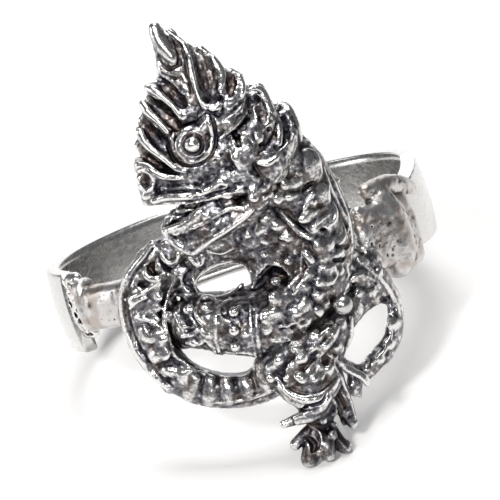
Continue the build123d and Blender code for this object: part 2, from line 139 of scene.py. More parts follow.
THIGH = shares([
    [(468, -312, 210, 55), (344, -370, 250, 80), (203, -408, 265, 88), (68, -430, 235, 85),
     (-20, -470, 180, 80)],
    [(0, -500, 185, 85), (80, -510, 215, 100), (160, -515, 240, 108), (250, -495, 235, 98),
     (335, -430, 215, 70)],
    [(80, -590, 250, 85), (160, -610, 270, 95), (240, -580, 260, 85)],
])
SPURS = shares([
    [(120, -815, 230, 34), (10, -872, 255, 30)],
    [(90, -745, 250, 34), (-20, -756, 265, 24)],
    [(270, -560, 170, 60), (280, -680, 190, 62), (300, -790, 190, 45), (318, -860, 200, 26)],
])
CUFFS = shares([
    [(22, -560, 300, 30), (60, -622, 315, 36), (120, -668, 330, 38), (195, -678, 325, 38),
     (260, -645, 285, 36), (300, -615, 230, 30)],
    [(55, -750, 290, 26), (115, -742, 310, 32), (180, -732, 305, 34), (232, -690, 275, 30)],
])
SPIKES = shares([
    [(520, 320, 275, 24), (560, 352, 275, 12)],
    [(545, 160, 250, 24), (583, 190, 250, 12)],
])

# Solid forms of the head and the crest: across, up, side and radius. Side is out from the head's middle
# plane, to both sides alike.
SKULL = shares([
    (-350, 590, 0, 68), (-250, 595, 0, 95), (-120, 630, 0, 140), (30, 660, 0, 180), (170, 640, 0, 180),
    (280, 570, 0, 150),
])
NOSE = shares([(-370, 620, 40, 48), (-365, 560, 45, 50), (-350, 530, 40, 40)])
UPPER_LIP = shares([
    (-385, 525, 30, 34), (-280, 520, 75, 40), (-150, 500, 110, 42), (-20, 495, 135, 40),
    (80, 480, 150, 40),
])
LOWER_JAW = shares([
    (-315, 322, 0, 34), (-255, 280, 30, 58), (-140, 300, 60, 68), (-10, 335, 85, 66),
    (90, 370, 105, 66), (150, 420, 115, 70), (160, 500, 120, 75),
])
LOWER_LIP = shares([
    (-330, 340, 30, 22), (-275, 340, 60, 28), (-215, 352, 80, 32), (-156, 380, 94, 32),
    (-99, 400, 104, 32), (-40, 402, 112, 30), (20, 400, 120, 30),
])
TONGUE = shares([(-300, 400, 0, 30), (-190, 410, 0, 62), (-60, 420, 0, 80), (80, 440, 0, 110)])
FACE_FILL = shares([(-90, 530, 100, 45), (0, 545, 130, 52), (80, 548, 145, 54), (140, 540, 150, 50)])
CREST = shares([
    (-125, 1330, 0, 34), (-105, 1230, 0, 62), (-55, 1120, 0, 115), (-30, 1000, 0, 150),
    (-25, 880, 0, 170), (0, 760, 0, 180),
])
FLAMES = shares([
    [(-85, 850, 50, 40), (-150, 965, 45, 40), (-215, 1050, 20, 36)],
    [(-160, 770, 50, 40), (-215, 870, 50, 40), (-262, 965, 20, 38)],
    [(-180, 640, 60, 36), (-260, 730, 55, 42), (-318, 850, 20, 40)],
    [(-210, 590, 60, 36), (-300, 630, 55, 40), (-375, 695, 20, 42)],
])
PETALS = shares([
    [(40, 840, 90, 90), (105, 970, 60, 45), (100, 1120, 20, 30)],
    [(100, 820, 100, 80), (180, 920, 75, 52), (195, 990, 50, 36)],
    [(150, 660, 120, 110), (260, 760, 90, 75), (285, 870, 50, 40)],
    [(250, 560, 110, 110), (350, 650, 85, 70), (380, 755, 50, 38)],
])
LEAVES = shares([
    [(-85, 1090, 0, 80), (-155, 1010, 0, 92), (-210, 925, 0, 95), (-260, 830, 0, 95),
     (-290, 750, 0, 85), (-310, 690, 0, 60)],
    [(30, 1165, 0, 50), (50, 1090, 0, 80), (50, 980, 0, 90), (50, 880, 0, 100)],
    [(175, 970, 30, 50), (165, 890, 50, 80)],
    [(262, 850, 40, 60), (270, 760, 60, 85), (270, 660, 80, 90)],
    [(110, 970, 30, 60), (150, 1000, 30, 55), (190, 990, 40, 40)],
    [(375, 765, 30, 44), (380, 690, 60, 60)],
])
CREST_DEPTH = 0.62       # of the crest and its leaf plates, over their width
LEAF_DEPTH = 0.50

# Strokes pressed into or laid on the surface where the photograph shows them: across, up, radius
HEAD_SCOOPS = shares([
    [(-175, 1085, 28), (-145, 1035, 36), (-118, 985, 36), (-95, 935, 30)],
    [(-245, 990, 28), (-210, 940, 42), (-180, 890, 42), (-155, 840, 32)],
    [(-300, 870, 24), (-270, 820, 36), (-240, 760, 38), (-205, 690, 28)],
    [(-345, 740, 20), (-305, 695, 28), (-260, 650, 26), (-215, 615, 18)],
    [(30, 1190, 30), (55, 1110, 50), (58, 1020, 52), (55, 930, 40)],
    [(170, 1000, 24), (165, 960, 28), (150, 930, 20)],
    [(245, 875, 22), (266, 850, 32), (280, 800, 36), (272, 760, 30)],
    [(378, 755, 18), (386, 700, 26), (380, 640, 22)],
])
HEAD_GROOVES = shares([
    [(-150, 1205, 11), (-140, 1150, 15), (-105, 1120, 15), (-62, 1130, 14), (-45, 1190, 12),
     (-52, 1250, 10)],
    [(-152, 1120, 10), (-120, 1075, 12), (-70, 1060, 10)],
    [(-30, 1230, 10), (-22, 1150, 12), (-30, 1060, 12), (-34, 980, 10)],
    [(-340, 470, 18), (-220, 462, 20), (-110, 455, 16), (40, 458, 14)],
    [(-290, 525, 12), (-220, 518, 14), (-150, 500, 12), (-110, 490, 10)],
    [(-180, 752, 10), (-140, 776, 11), (-90, 788, 11), (-45, 770, 11), (-28, 730, 11), (-34, 690, 10)],
    [(-186, 715, 10), (-168, 672, 11), (-128, 650, 11), (-78, 648, 10), (-38, 668, 10)],
    [(20, 870, 12), (55, 840, 18), (100, 828, 18), (160, 842, 16), (205, 880, 14)],
    [(90, 920, 12), (105, 890, 16), (100, 860, 14)],
    [(112, 725, 14), (125, 700, 18), (120, 660, 14)],
    [(300, 600, 14), (345, 620, 16), (365, 700, 14)],
    [(-280, 420, 10), (-230, 400, 12), (-150, 405, 12)],
    [(-230, 440, 8), (-180, 420, 9), (-150, 390, 8)],
    [(-255, 382, 10), (-190, 398, 12), (-130, 430, 12), (0, 440, 10)],
])
HEAD_RIMS = shares([
    [(-245, 1060, 14), (-212, 1032, 18), (-185, 1000, 18), (-160, 965, 16), (-140, 930, 14),
     (-125, 890, 12)],
    [(-285, 985, 20), (-270, 945, 22), (-245, 905, 18), (-222, 865, 16), (-200, 815, 13)],
    [(-335, 855, 22), (-325, 805, 21), (-300, 755, 18), (-265, 710, 16), (-235, 670, 16),
     (-205, 630, 15), (-170, 607, 12)],
    [(-385, 700, 20), (-345, 680, 20), (-315, 640, 20), (-280, 610, 18), (-235, 590, 16),
     (-190, 578, 12)],
    [(-75, 1310, 8), (-40, 1268, 11), (-12, 1225, 13), (-2, 1175, 14), (-4, 1115, 14), (-10, 1055, 14),
     (-12, 1000, 13), (-8, 945, 13), (8, 895, 14), (35, 872, 14), (70, 868, 13), (98, 878, 12)],
    [(112, 1120, 12), (128, 1070, 18), (134, 1025, 22), (122, 985, 18), (105, 955, 12)],
    [(192, 1020, 8), (216, 985, 15), (217, 930, 16), (200, 890, 10)],
    [(220, 905, 10), (258, 918, 12), (300, 905, 18), (314, 850, 22), (322, 790, 22), (338, 725, 21),
     (334, 670, 18), (318, 615, 15)],
    [(345, 790, 10), (378, 805, 14), (410, 775, 18), (425, 710, 19), (428, 640, 17), (408, 570, 13)],
    [(108, 852, 14), (118, 885, 16), (132, 912, 14)],
    [(48, 718, 11), (78, 735, 14), (112, 752, 16), (146, 772, 17), (178, 797, 17), (200, 820, 21)],
    [(205, 800, 6), (196, 765, 8), (190, 715, 8), (196, 650, 8)],
    [(-355, 507, 20), (-300, 506, 20), (-250, 496, 19), (-200, 482, 18), (-150, 468, 15),
     (-110, 466, 12)],
    [(-300, 552, 13), (-250, 537, 14), (-200, 530, 14), (-150, 515, 13), (-100, 500, 12)],
    [(-98, 484, 18), (-55, 495, 21), (-15, 508, 20), (12, 492, 14)],
    [(-105, 442, 16), (-45, 434, 20), (15, 430, 16)],
    [(-300, 392, 14), (-332, 370, 18), (-334, 345, 22), (-275, 344, 26), (-215, 356, 29),
     (-156, 386, 28), (-99, 408, 26), (-40, 408, 22), (14, 405, 14)],
    [(-200, 325, 12), (-120, 338, 14), (-50, 360, 15), (10, 368, 15), (65, 350, 13)],
    [(-345, 345, 16), (-325, 300, 20), (-285, 245, 22), (-240, 212, 24), (-190, 222, 22),
     (-125, 246, 18), (-30, 274, 16), (60, 308, 14), (105, 332, 12)],
    [(195, 552, 14), (235, 536, 18), (285, 550, 14)],
    [(200, 578, 9), (235, 592, 11), (275, 572, 9)],
])
HEAD_LINES = shares([
    [(-60, 1320, 6), (-35, 1280, 7), (-48, 1220, 7)],
    [(-158, 1170, 7), (-150, 1135, 8), (-125, 1105, 8), (-90, 1085, 7)],
    [(-146, 1180, 6), (-138, 1150, 7), (-108, 1128, 7), (-80, 1108, 6)],
    [(10, 1220, 6), (18, 1150, 7), (12, 1080, 7), (18, 1000, 7), (35, 930, 6)],
    [(40, 1150, 5), (45, 1070, 6), (45, 990, 6), (60, 920, 5)],
    [(75, 1130, 5), (78, 1060, 6), (74, 990, 6), (80, 930, 5)],
    [(-190, 1095, 6), (-155, 1055, 7), (-125, 1010, 7), (-100, 960, 6)],
    [(-130, 1090, 7), (-100, 1040, 8), (-85, 990, 7)],
    [(-225, 960, 5), (-195, 910, 6), (-165, 860, 5)],
    [(-285, 830, 5), (-250, 775, 6), (-215, 710, 5)],
    [(215, 840, 5), (240, 790, 6), (235, 740, 5)],
    [(-260, 440, 5), (-225, 405, 6), (-205, 385, 5)],
    [(-215, 435, 5), (-185, 405, 6), (-165, 392, 5)],
])
CHEEK = shares([(95, 605, 26), (128, 550, 40), (142, 490, 44), (138, 435, 42), (125, 395, 36)])
HORN = shares([(-130, 1338, 30), (-128, 1298, 37), (-114, 1240, 38), (-94, 1192, 32), (-82, 1158, 18)])
NOSTRIL_RIM = shares([
    (-392, 668, 9), (-356, 662, 11), (-332, 630, 11), (-334, 596, 11), (-352, 568, 10), (-384, 560, 9),
])
EYE_RIM = shares([
    (-190, 780, 10), (-196, 722, 11), (-178, 676, 11), (-140, 646, 11), (-90, 640, 11), (-42, 655, 11),
    (-10, 692, 11), (6, 735, 12), (10, 790, 12), (0, 842, 9), (-30, 822, 12), (-70, 808, 12),
    (-120, 806, 12), (-165, 800, 11), (-190, 780, 10),
])
EYE_TIP = shares([(-75, 770, 34), (-40, 778, 34), (-15, 800, 20), (0, 830, 10)])
# Beads and pits: across, up, radius
KNOBS = shares([
    (130, 392, 34), (-100, 875, 36), (225, 668, 36), (105, 590, 22), (132, 545, 26), (155, 500, 22),
    (128, 470, 22), (140, 430, 26), (200, 440, 30), (260, 420, 30), (175, 380, 24), (80, 560, 18),
    (60, 530, 14), (30, 560, 14), (-90, 560, 12), (-150, 580, 12), (-385, 540, 28), (-50, 1040, 14),
    (-52, 998, 14), (-55, 965, 16), (300, 755, 14), (60, 985, 10), (250, 610, 18), (170, 420, 26),
    (205, 385, 22), (20, 595, 16), (-20, 560, 14), (65, 650, 14), (-60, 590, 12),
])
HEAD_PITS = shares([
    (122, 718, 24), (290, 700, 16), (10, 690, 12), (-330, 600, 10), (30, 640, 10), (55, 555, 12),
    (-10, 620, 9), (230, 640, 12),
])
NOSTRIL = shares((-376, 614, 32))
EYE_PLATE = shares((-93, 722, 94))
# The teeth and the middle of the eye: across, up
TEETH = shares([(-335, 462), (-310, 455), (-282, 452)])
EYE_SPOT = shares((-98, 725))
TOOTH, TOOTH_SHAPE = 0.012, (0.7, 0.7, 1.6)
NOSTRIL_SHAPE = (1, 1.2, 1.25)
EYE_PLATE_DEPTH = 0.34   # over its width
EYE_SHADOW = 1.20        # how far outside its rim the eye plate is undercut, over the rim's own size
# Rings pressed round the eyeball: radius of the ring, radius of the groove
EYE_GROOVES = shares([(51, 12), (73, 5)])
CIRCLE_ROWS = 13

# Strokes of the trunk, its lumps and studs, and the neck's scales: across, up, half width, half height
TRUNK_SCOOPS = shares([
    [(15, -62, 16), (70, -30, 34), (125, -20, 46), (165, -45, 40), (180, -75, 26)],
    [(-255, 205, 24), (-235, 190, 30), (-210, 205, 24)],
    [(-275, 95, 20), (-300, 60, 30), (-285, 20, 26)],
    [(-465, -60, 20), (-480, -130, 22), (-465, -210, 22), (-425, -270, 18)],
    [(-345, -30, 20), (-365, -100, 24), (-350, -150, 20)],
])
TRUNK_GROOVES = shares([
    [(-230, 205, 14), (-150, 236, 12), (-50, 262, 12), (33, 300, 14), (98, 320, 21), (156, 320, 22),
     (208, 298, 18), (246, 245, 13), (262, 170, 8)],
    [(-215, -80, 6), (-232, -180, 7), (-252, -260, 7), (-250, -330, 6)],
    [(-300, -55, 10), (-318, -110, 14), (-296, -170, 12), (-270, -190, 10)],
    [(-395, -170, 10), (-340, -190, 12), (-300, -215, 10)],
    [(85, -298, 5), (140, -304, 6), (210, -290, 5)],
    [(380, 350, 10), (425, 372, 14), (455, 372, 10)],
    [(405, 262, 10), (445, 250, 12), (470, 262, 9)],
    [(350, 170, 9), (395, 140, 12), (440, 130, 10)],
    [(460, 40, 10), (500, 22, 13), (530, 20, 10)],
    [(430, -30, 10), (470, -40, 13), (500, -35, 9)],
])
TRUNK_RIDGES = shares([
    [(0, -105, 9), (-8, -180, 10), (-26, -260, 11), (-38, -330, 11), (-42, -400, 10)],
    [(-28, -145, 9), (-46, -220, 11), (-60, -300, 11), (-68, -390, 9)],
    [(-170, -85, 10), (-200, -130, 12), (-222, -190, 12), (-238, -260, 12), (-240, -325, 11)],
    [(-192, -85, 8), (-222, -140, 10), (-246, -210, 10), (-262, -285, 10), (-262, -330, 9)],
    [(-110, -92, 9), (-155, -98, 10), (-186, -130, 11), (-180, -172, 10), (-150, -194, 9)],
    [(-250, -332, 12), (-200, -340, 12), (-140, -356, 12), (-100, -370, 12), (-75, -392, 11)],
    [(-50, -402, 12), (30, -406, 12), (100, -400, 12), (160, -388, 12), (210, -355, 13),
     (270, -338, 13), (320, -305, 11), (370, -285, 9)],
    [(-270, 20, 14), (-245, 62, 15), (-190, 88, 16), (-120, 104, 17), (-50, 98, 16), (5, 66, 14),
     (18, 20, 12)],
    [(-240, -40, 11), (-170, -66, 12), (-100, -60, 12), (-40, -30, 11)],
    [(0, -60, 8), (45, -20, 10), (100, 20, 12), (145, 28, 12), (185, 0, 11), (202, -45, 10),
     (186, -85, 9)],
    [(20, -85, 8), (80, -104, 9), (140, -104, 9), (180, -85, 8)],
    [(82, -282, 6), (140, -288, 7), (212, -275, 6)],
    [(110, -245, 5), (120, -290, 6), (140, -330, 5)],
    [(160, -245, 5), (172, -290, 6), (190, -325, 5)],
    [(20, -330, 8), (60, -352, 9), (130, -360, 9), (190, -350, 8)],
    [(-400, -205, 12), (-345, -208, 15), (-305, -192, 14), (-288, -225, 12)],
    [(-385, -242, 11), (-330, -262, 14), (-290, -250, 14), (-272, -290, 11)],
    [(-295, -85, 12), (-300, -125, 14), (-280, -175, 14), (-262, -205, 11)],
    [(-288, -75, 12), (-262, -50, 14), (-215, -48, 14), (-188, -80, 11)],
    [(-405, -85, 10), (-398, -130, 13), (-382, -180, 10)],
    [(-415, -20, 10), (-385, 8, 12), (-345, -4, 12), (-330, -40, 10)],
    [(-370, 30, 8), (-340, 45, 9), (-305, 20, 9), (-292, -20, 8)],
    [(-260, 172, 12), (-235, 125, 12), (-205, 130, 12), (-190, 165, 10)],
    [(-160, 180, 9), (-100, 150, 11), (-40, 160, 9)],
])
NECK_LINES = shares([
    [(464, 537, 7), (483, 510, 10), (490, 462, 11), (482, 412, 11), (450, 367, 7)],
    [(507, 367, 7), (497, 313, 10), (486, 267, 9), (457, 254, 6)],
    [(504, 257, 7), (508, 204, 11), (488, 160, 11), (444, 142, 7)],
    [(524, 136, 7), (524, 94, 10), (510, 58, 10), (484, 42, 7)],
    [(426, -58, 7), (430, -102, 11), (406, -132, 7)],
    [(488, -80, 7), (488, -117, 11), (471, -144, 7)],
    [(502, 426, 8), (509, 335, 11), (524, 252, 12), (537, 185, 12), (549, 129, 11), (525, 62, 8)],
    [(526, 399, 8), (544, 310, 11), (556, 217, 11), (558, 127, 12), (549, 34, 10)],
    [(416, 318, 12), (388, 290, 15), (359, 260, 14)],
    [(379, 159, 10), (427, 183, 12), (468, 199, 8)],
    [(229, 300, 14), (270, 220, 20), (306, 158, 24), (345, 111, 16)],
    [(300, 60, 16), (315, 30, 22), (328, -5, 18)],
    [(293, 51, 8), (280, 10, 11), (265, -36, 10)],
    [(261, -51, 10), (204, -88, 14), (147, -125, 10)],
    [(289, -63, 10), (242, -103, 14), (201, -140, 10)],
])
TRUNK_LUMPS = shares([
    (150, -185, 50), (22, -232, 50), (240, -215, 38), (90, -150, 38), (250, -132, 42), (190, -240, 30),
    (305, -175, 30), (340, -240, 26), (80, -215, 32), (122, 213, 34), (199, 208, 32), (229, 142, 24),
    (121, 150, 24), (58, 209, 20), (160, 262, 22), (217, 19, 21), (-235, 150, 38), (-330, -85, 28),
    (-240, -100, 26), (-350, -240, 32), (-262, -230, 20), (-440, -95, 24), (-430, 0, 28),
    (290, -260, 34), (340, -120, 26), (20, -280, 26), (290, 400, 34), (250, 345, 26), (380, 150, 26),
    (420, 280, 22), (300, -60, 26), (390, 0, 28), (430, 60, 26), (350, 110, 24), (390, -120, 26),
    (60, -100, 24), (-80, -140, 20), (-150, -260, 16), (-90, -270, 18), (110, 80, 20),
])
POCKET_BALL = shares((130, -58, 32))
STUDS = shares([(-116, -152), (-138, -242), (-154, -322)])
NECK_PLATES = shares([
    (434, 465, 62, 86), (451, 314, 54, 56), (475, 207, 42, 70), (497, 91, 30, 46), (461, -5, 36, 22),
    (311, 336, 58, 30), (345, 400, 56, 40), (385, 230, 50, 34), (352, 210, 40, 30), (400, 60, 50, 50),
    (330, 10, 40, 62), (395, -60, 40, 40), (445, -90, 28, 30),
])
PLATE_DEPTH = 0.55       # of the neck's scales, over their width

# Strokes of the tail, its bars along the foot of the coil, its outer strip, and its lumps
TAIL_SCOOPS = shares([
    [(-455, 190, 20), (-470, 150, 24), (-455, 115, 22)],
    [(-395, 185, 18), (-385, 140, 22), (-350, 125, 18)],
    [(-590, 95, 18), (-540, 105, 22), (-500, 110, 18)],
    [(-600, -50, 18), (-560, -60, 22), (-530, -100, 18)],
    [(-610, -220, 18), (-580, -270, 20), (-550, -330, 18)],
    [(-465, -100, 14), (-480, -180, 16), (-470, -260, 14)],
])
TAIL_RIDGES = shares([
    [(-630, 50, 10), (-560, 56, 12), (-500, 74, 13), (-440, 96, 13), (-380, 122, 12), (-320, 160, 11)],
    [(-620, 0, 9), (-570, 28, 12), (-525, 34, 11)],
    [(-605, -48, 10), (-550, -80, 13), (-505, -125, 12), (-490, -165, 10)],
    [(-320, 100, 12), (-370, 75, 13), (-410, 30, 14), (-448, -40, 14), (-472, -120, 14),
     (-472, -210, 14), (-470, -280, 13), (-430, -340, 13), (-390, -390, 12), (-330, -430, 11)],
    [(230, -470, 14), (320, -415, 18), (400, -350, 18), (470, -310, 13)],
    [(290, -500, 12), (350, -478, 13), (400, -450, 12)],
    [(340, -370, 10), (400, -330, 13), (450, -290, 12)],
    [(470, -330, 10), (495, -290, 12), (515, -262, 10)],
    [(560, -60, 9), (622, -150, 11), (668, -240, 12), (690, -330, 12), (692, -400, 9)],
    [(632, -410, 9), (622, -480, 10), (568, -550, 10), (490, -598, 9)],
    [(-350, -565, 10), (-260, -588, 12), (-160, -598, 12), (-60, -592, 12), (30, -572, 10)],
])
TAIL_RINGS = shares([
    [(-492, 190, 10), (-500, 150, 16), (-478, 116, 19), (-438, 108, 18), (-408, 130, 13)],
    [(-392, 232, 10), (-388, 196, 15), (-360, 172, 18), (-324, 180, 14), (-312, 206, 9)],
    [(-396, 142, 9), (-386, 112, 13), (-356, 102, 14), (-334, 120, 9)],
])
TAIL_BARS = shares([
    [(-400, -435, 40), (-432, -482, 46), (-450, -510, 34)],
    [(-328, -470, 40), (-345, -525, 48), (-355, -558, 34)],
    [(-247, -485, 40), (-253, -540, 50), (-258, -578, 34)],
    [(-155, -490, 40), (-155, -545, 50), (-154, -582, 34)],
    [(-65, -480, 40), (-58, -535, 48), (-53, -570, 34)],
    [(20, -455, 36), (33, -508, 44), (42, -542, 30)],
    [(100, -425, 32), (113, -475, 40), (124, -508, 28)],
])
OUTER_STRIP = shares([
    (-425, 293, 14), (-500, 229, 17), (-572, 176, 19), (-626, 108, 20), (-655, 30, 20),
    (-666, -56, 20), (-664, -130, 20), (-650, -213, 20), (-624, -294, 19), (-592, -370, 18),
    (-544, -440, 15),
])
TAIL_LUMPS = shares([
    (-462, 92, 34), (-400, 90, 26), (-572, -162, 44), (-546, -259, 40), (-505, -352, 34),
    (-645, -180, 18), (-525, -15, 40), (-475, 25, 30), (-595, -135, 36), (-585, -65, 32),
    (-545, -180, 40), (-620, -200, 28), (-520, -100, 34), (-595, -280, 36), (-525, -275, 46),
    (-560, -355, 34), (-470, -430, 36), (-425, -395, 36), (-530, -430, 30), (-500, -205, 28),
    (-590, 20, 34), (-545, 70, 34), (-520, 140, 36), (-575, 130, 28), (180, -440, 36), (250, -420, 36),
    (320, -385, 32), (190, -500, 34), (255, -480, 28), (390, -340, 26), (300, -450, 26),
    (360, -420, 24), (605, -510, 28), (650, -440, 30), (540, -590, 28), (600, -280, 22),
    (580, -235, 20), (425, -550, 18), (385, -520, 16), (-410, 262, 30), (-458, 235, 32),
    (-515, 205, 28), (-355, 265, 24), (-300, 235, 26), (480, -20, 26), (545, -30, 28), (500, -80, 24),
    (590, -80, 22), (640, -150, 22), (515, -150, 22), (450, -300, 24), (520, -240, 22),
])
STRIP_GROOVE = 0.030     # the groove beside the strip runs this far inside its middle
GROOVE_WIDTH = 0.4       # over the strip's

# Strokes and lumps of the leg
LEG_RIDGES = shares([
    [(10, -535, 12), (30, -600, 16), (70, -645, 22), (125, -676, 28), (195, -684, 30), (255, -650, 26),
     (295, -618, 18)],
    [(45, -750, 14), (110, -745, 22), (180, -733, 26), (228, -695, 20)],
    [(120, -575, 10), (180, -592, 13), (240, -575, 10)],
    [(441, -340, 14), (421, -412, 20), (377, -475, 14)],
    [(376, -330, 14), (346, -390, 22), (285, -440, 24), (236, -480, 16)],
    [(291, -372, 16), (220, -430, 22), (160, -452, 16)],
    [(168, -440, 14), (104, -484, 20), (70, -528, 14)],
    [(235, -500, 14), (172, -536, 20), (135, -580, 14)],
    [(322, -505, 12), (250, -556, 16), (225, -590, 12)],
    [(283, -478, 14), (327, -547, 17), (376, -598, 18), (427, -643, 19), (442, -684, 17)],
    [(40, -585, 9), (90, -575, 11), (140, -545, 10)],
    [(110, -815, 11), (145, -860, 12), (140, -920, 12), (100, -965, 11)],
    [(150, -800, 10), (190, -850, 10), (200, -905, 10)],
    [(300, -560, 10), (320, -650, 12), (330, -740, 12), (335, -840, 10)],
    [(345, -640, 9), (375, -660, 12), (380, -710, 12), (360, -740, 9)],
    [(240, -700, 9), (265, -770, 11), (275, -850, 10)],
    [(215, -900, 8), (240, -945, 10), (262, -985, 8)],
])
LEG_GROOVES = shares([
    [(80, -705, 9), (140, -712, 12), (195, -705, 11), (230, -665, 8)],
    [(80, -870, 14), (98, -905, 20), (90, -935, 14)],
    [(150, -790, 10), (180, -830, 14), (185, -880, 12)],
    [(285, -680, 10), (300, -750, 14), (305, -820, 12)],
])
LEG_LUMPS = shares([
    (10, -480, 38), (60, -455, 34), (250, -385, 30), (-20, -520, 28), (150, -410, 32), (390, -350, 26),
    (100, -500, 34), (155, -470, 32), (270, -440, 32), (330, -385, 30), (120, -555, 30),
    (230, -545, 26), (60, -560, 24), (340, -460, 22), (188, -572, 30), (205, -884, 22),
    (270, -560, 24), (300, -800, 20), (240, -780, 20), (170, -800, 18), (220, -845, 16),
    (115, -960, 18),
])
# The ball beside the hip: across, lift, up
PEARL_PLACE = shares((420, 330, -247))

# Openings right through the casting, in shares of FIGURE and degrees: across, up, half width, half height,
# turn. The first is the trunk's, the others are the tail's.
GAPS = [
    (-0.147, 0.024, 0.115, 0.051, 5.0),
    (-0.250, -0.395, 0.150, 0.052, -24.0),
    (0.490, -0.468, 0.122, 0.066, 38.0),
]

# How deep strokes and beads sink, over their radius. A sunk scoop turns wide and shallow below nought, and
# a bead stands prouder.
BEDDED, RIM_SINK, LINE_SINK, PROUD_SINK, CHEEK_SINK, BAR_SINK = 0.3, 0.2, 0.7, 0.1, 0.75, 0.62
HEAD_SCOOP_SINK, SCOOP_SINK = -0.35, -0.1
KNOB_SINK, PLATE_SINK, STUD_SINK, POCKET_SINK, EYE_SINK, EYE_RIM_SINK = 0.6, 0.25, -0.35, -0.6, 0.05, 0.4

# A lump is a few drops: their sizes over the lump's, how far out they lie, and how they are squashed
CLUMP = (0.80, 0.62, 0.50, 0.40)
CLUMP_SIZE, CLUMP_SINK, CLUMP_FLAT = 1.15, 0.5, 0.75
CLUMP_SPREAD, CLUMP_SHAPE = (0.25, 0.65), (0.8, 1.3)
TAIL_CLUMP = 1.15        # the tail's lumps, over the size in their table

# Uneven skins: rows of bump size and height, in millimetres, and how near the surface they reach
CASTING_GRAIN = ((0.30, 0.018), (0.55, 0.030))
SKIN_GRAIN = ((0.17, 0.042), (0.42, 0.050))
LUMP_GRAIN = ((0.34, 0.020), (0.18, 0.008))
FINISH_GRAIN = ((0.50, 0.012),)
SOLDER_GRAIN = ((0.22, 0.018), (0.5, 0.03))
GRAIN_REACH = 0.25
GRAIN_TABLE = 32         # entries along each side of the noise's table
SEEDS = {"head skin": 11, "head finish": 13, "trunk skin": 23, "trunk finish": 24, "trunk lump skin": 25,
         "tail skin": 37, "tail finish": 38, "tail lump skin": 39, "leg skin": 41, "left solder": 51,
         "right solder": 52, "recess": 53, "trunk lumps": 61, "tail lumps": 62, "leg lumps": 63}

# The band and its soldered ends, as in the CAD: angles in degrees from the front, the wall in walls of the
# band, the height and the rise in widths of the band
BAND_WALL = 0.75
BAND_CROWN = 0.15        # how far the strip's outside swells at its middle
BAND_EDGE = 0.22         # rounding of the band's rims
FILED = 11.0             # degrees: the strip's top is filed down this steeply towards the right collar
NECK_CROWN = 0.25        # swell of the collars and necks outside
BAND_STEPS, INNER_STEPS, OUTER_STEPS, CORNER_STEPS = 260, 12, 24, 6
Bar = namedtuple("Bar", "start end wall height rise")
STRIP = Bar(60, 293, 1.00, 1.00, 0.00)
LEFT_RECESS = Bar(-68, -59, 0.80, 0.85, 0.08)
LEFT_COLLAR = Bar(-58.5, -54, 1.40, 0.66, 0.10)
LEFT_NECK = Bar(-55, -35, 1.35, 0.54, 0.06)
RIGHT_COLLAR = Bar(47, 61, 1.25, 0.94, -0.19)
RIGHT_NECK = Bar(35, 49, 1.45, 0.80, -0.13)

# Drops of solder laid on, and pits pressed in: how many, between which angles, heights and radii, and how
# far out from the bore their middles lie
Drops = namedtuple("Drops", "count angles ups sizes lift")
LEFT_LUMPS = [
    Drops(7, (-62, -55), (1.0, 1.7), (0.20, 0.32), 0.62),
    Drops(5, (-50, -42), (-0.7, 0.9), (0.20, 0.34), 0.78),
]
LEFT_PITS = [Drops(12, (-56, -40), (-1.0, 0.2), (0.04, 0.09), 1.08)]
RECESS_LUMPS = [Drops(16, (-66, -59), (-1.4, 1.2), (0.12, 0.22), 0.50)]
RECESS_PITS = [Drops(34, (-66, -58), (-1.5, 1.6), (0.10, 0.20), 0.70)]
RIGHT_LUMPS = [
    Drops(18, (35, 44), (-2.2, 0.0), (0.26, 0.46), 0.85),
    Drops(8, (35, 44), (0.1, 1.1), (0.28, 0.42), 0.88),
]
RIGHT_PITS = [
    Drops(46, (35, 45), (-2.3, 0.3), (0.04, 0.10), 1.28),
    Drops(8, (36, 45), (0.3, 1.3), (0.03, 0.07), 1.28),
    Drops(10, (46, 56), (-2.4, 1.2), (0.03, 0.06), 1.60),
]
DROP_SCATTER = 0.1       # the drops' middles lie this much further in or out

# Beads of solder run along these rows of angle, height, lift and radius: the collar's ridge, and the patch
# that covers its joint with the strip
LEFT_BEADS = [[(-57.5, 1.45, 0.60, 0.30), (-56.0, 0.6, 0.72, 0.32), (-55.0, -0.4, 0.72, 0.30)]]
RIGHT_BEADS = [
    [(49.0, 1.05, 0.55, 0.75), (50.0, 0.2, 0.62, 0.92), (50.5, -1.2, 0.62, 0.92), (49.5, -2.2, 0.55, 0.80),
     (48.5, -2.5, 0.45, 0.60)],
    [(45.0, 1.75, 0.45, 0.42), (50.0, 1.70, 0.50, 0.52), (56.0, 1.50, 0.52, 0.60), (62.0, 1.20, 0.52, 0.60),
     (67.0, 0.80, 0.50, 0.52), (69.5, 0.45, 0.50, 0.36)],
]
SOLDER_ROOM = 0.9        # of the grid beyond the bars, beads and drops, round the finger
SOLDER_BELOW, SOLDER_ABOVE = 0.85, 0.75    # the grid's reach along the finger, in widths of the band
SOLDER_INSIDE, SOLDER_OUTSIDE = 0.3, 1.2   # and inside the bore and outside the collar's wall

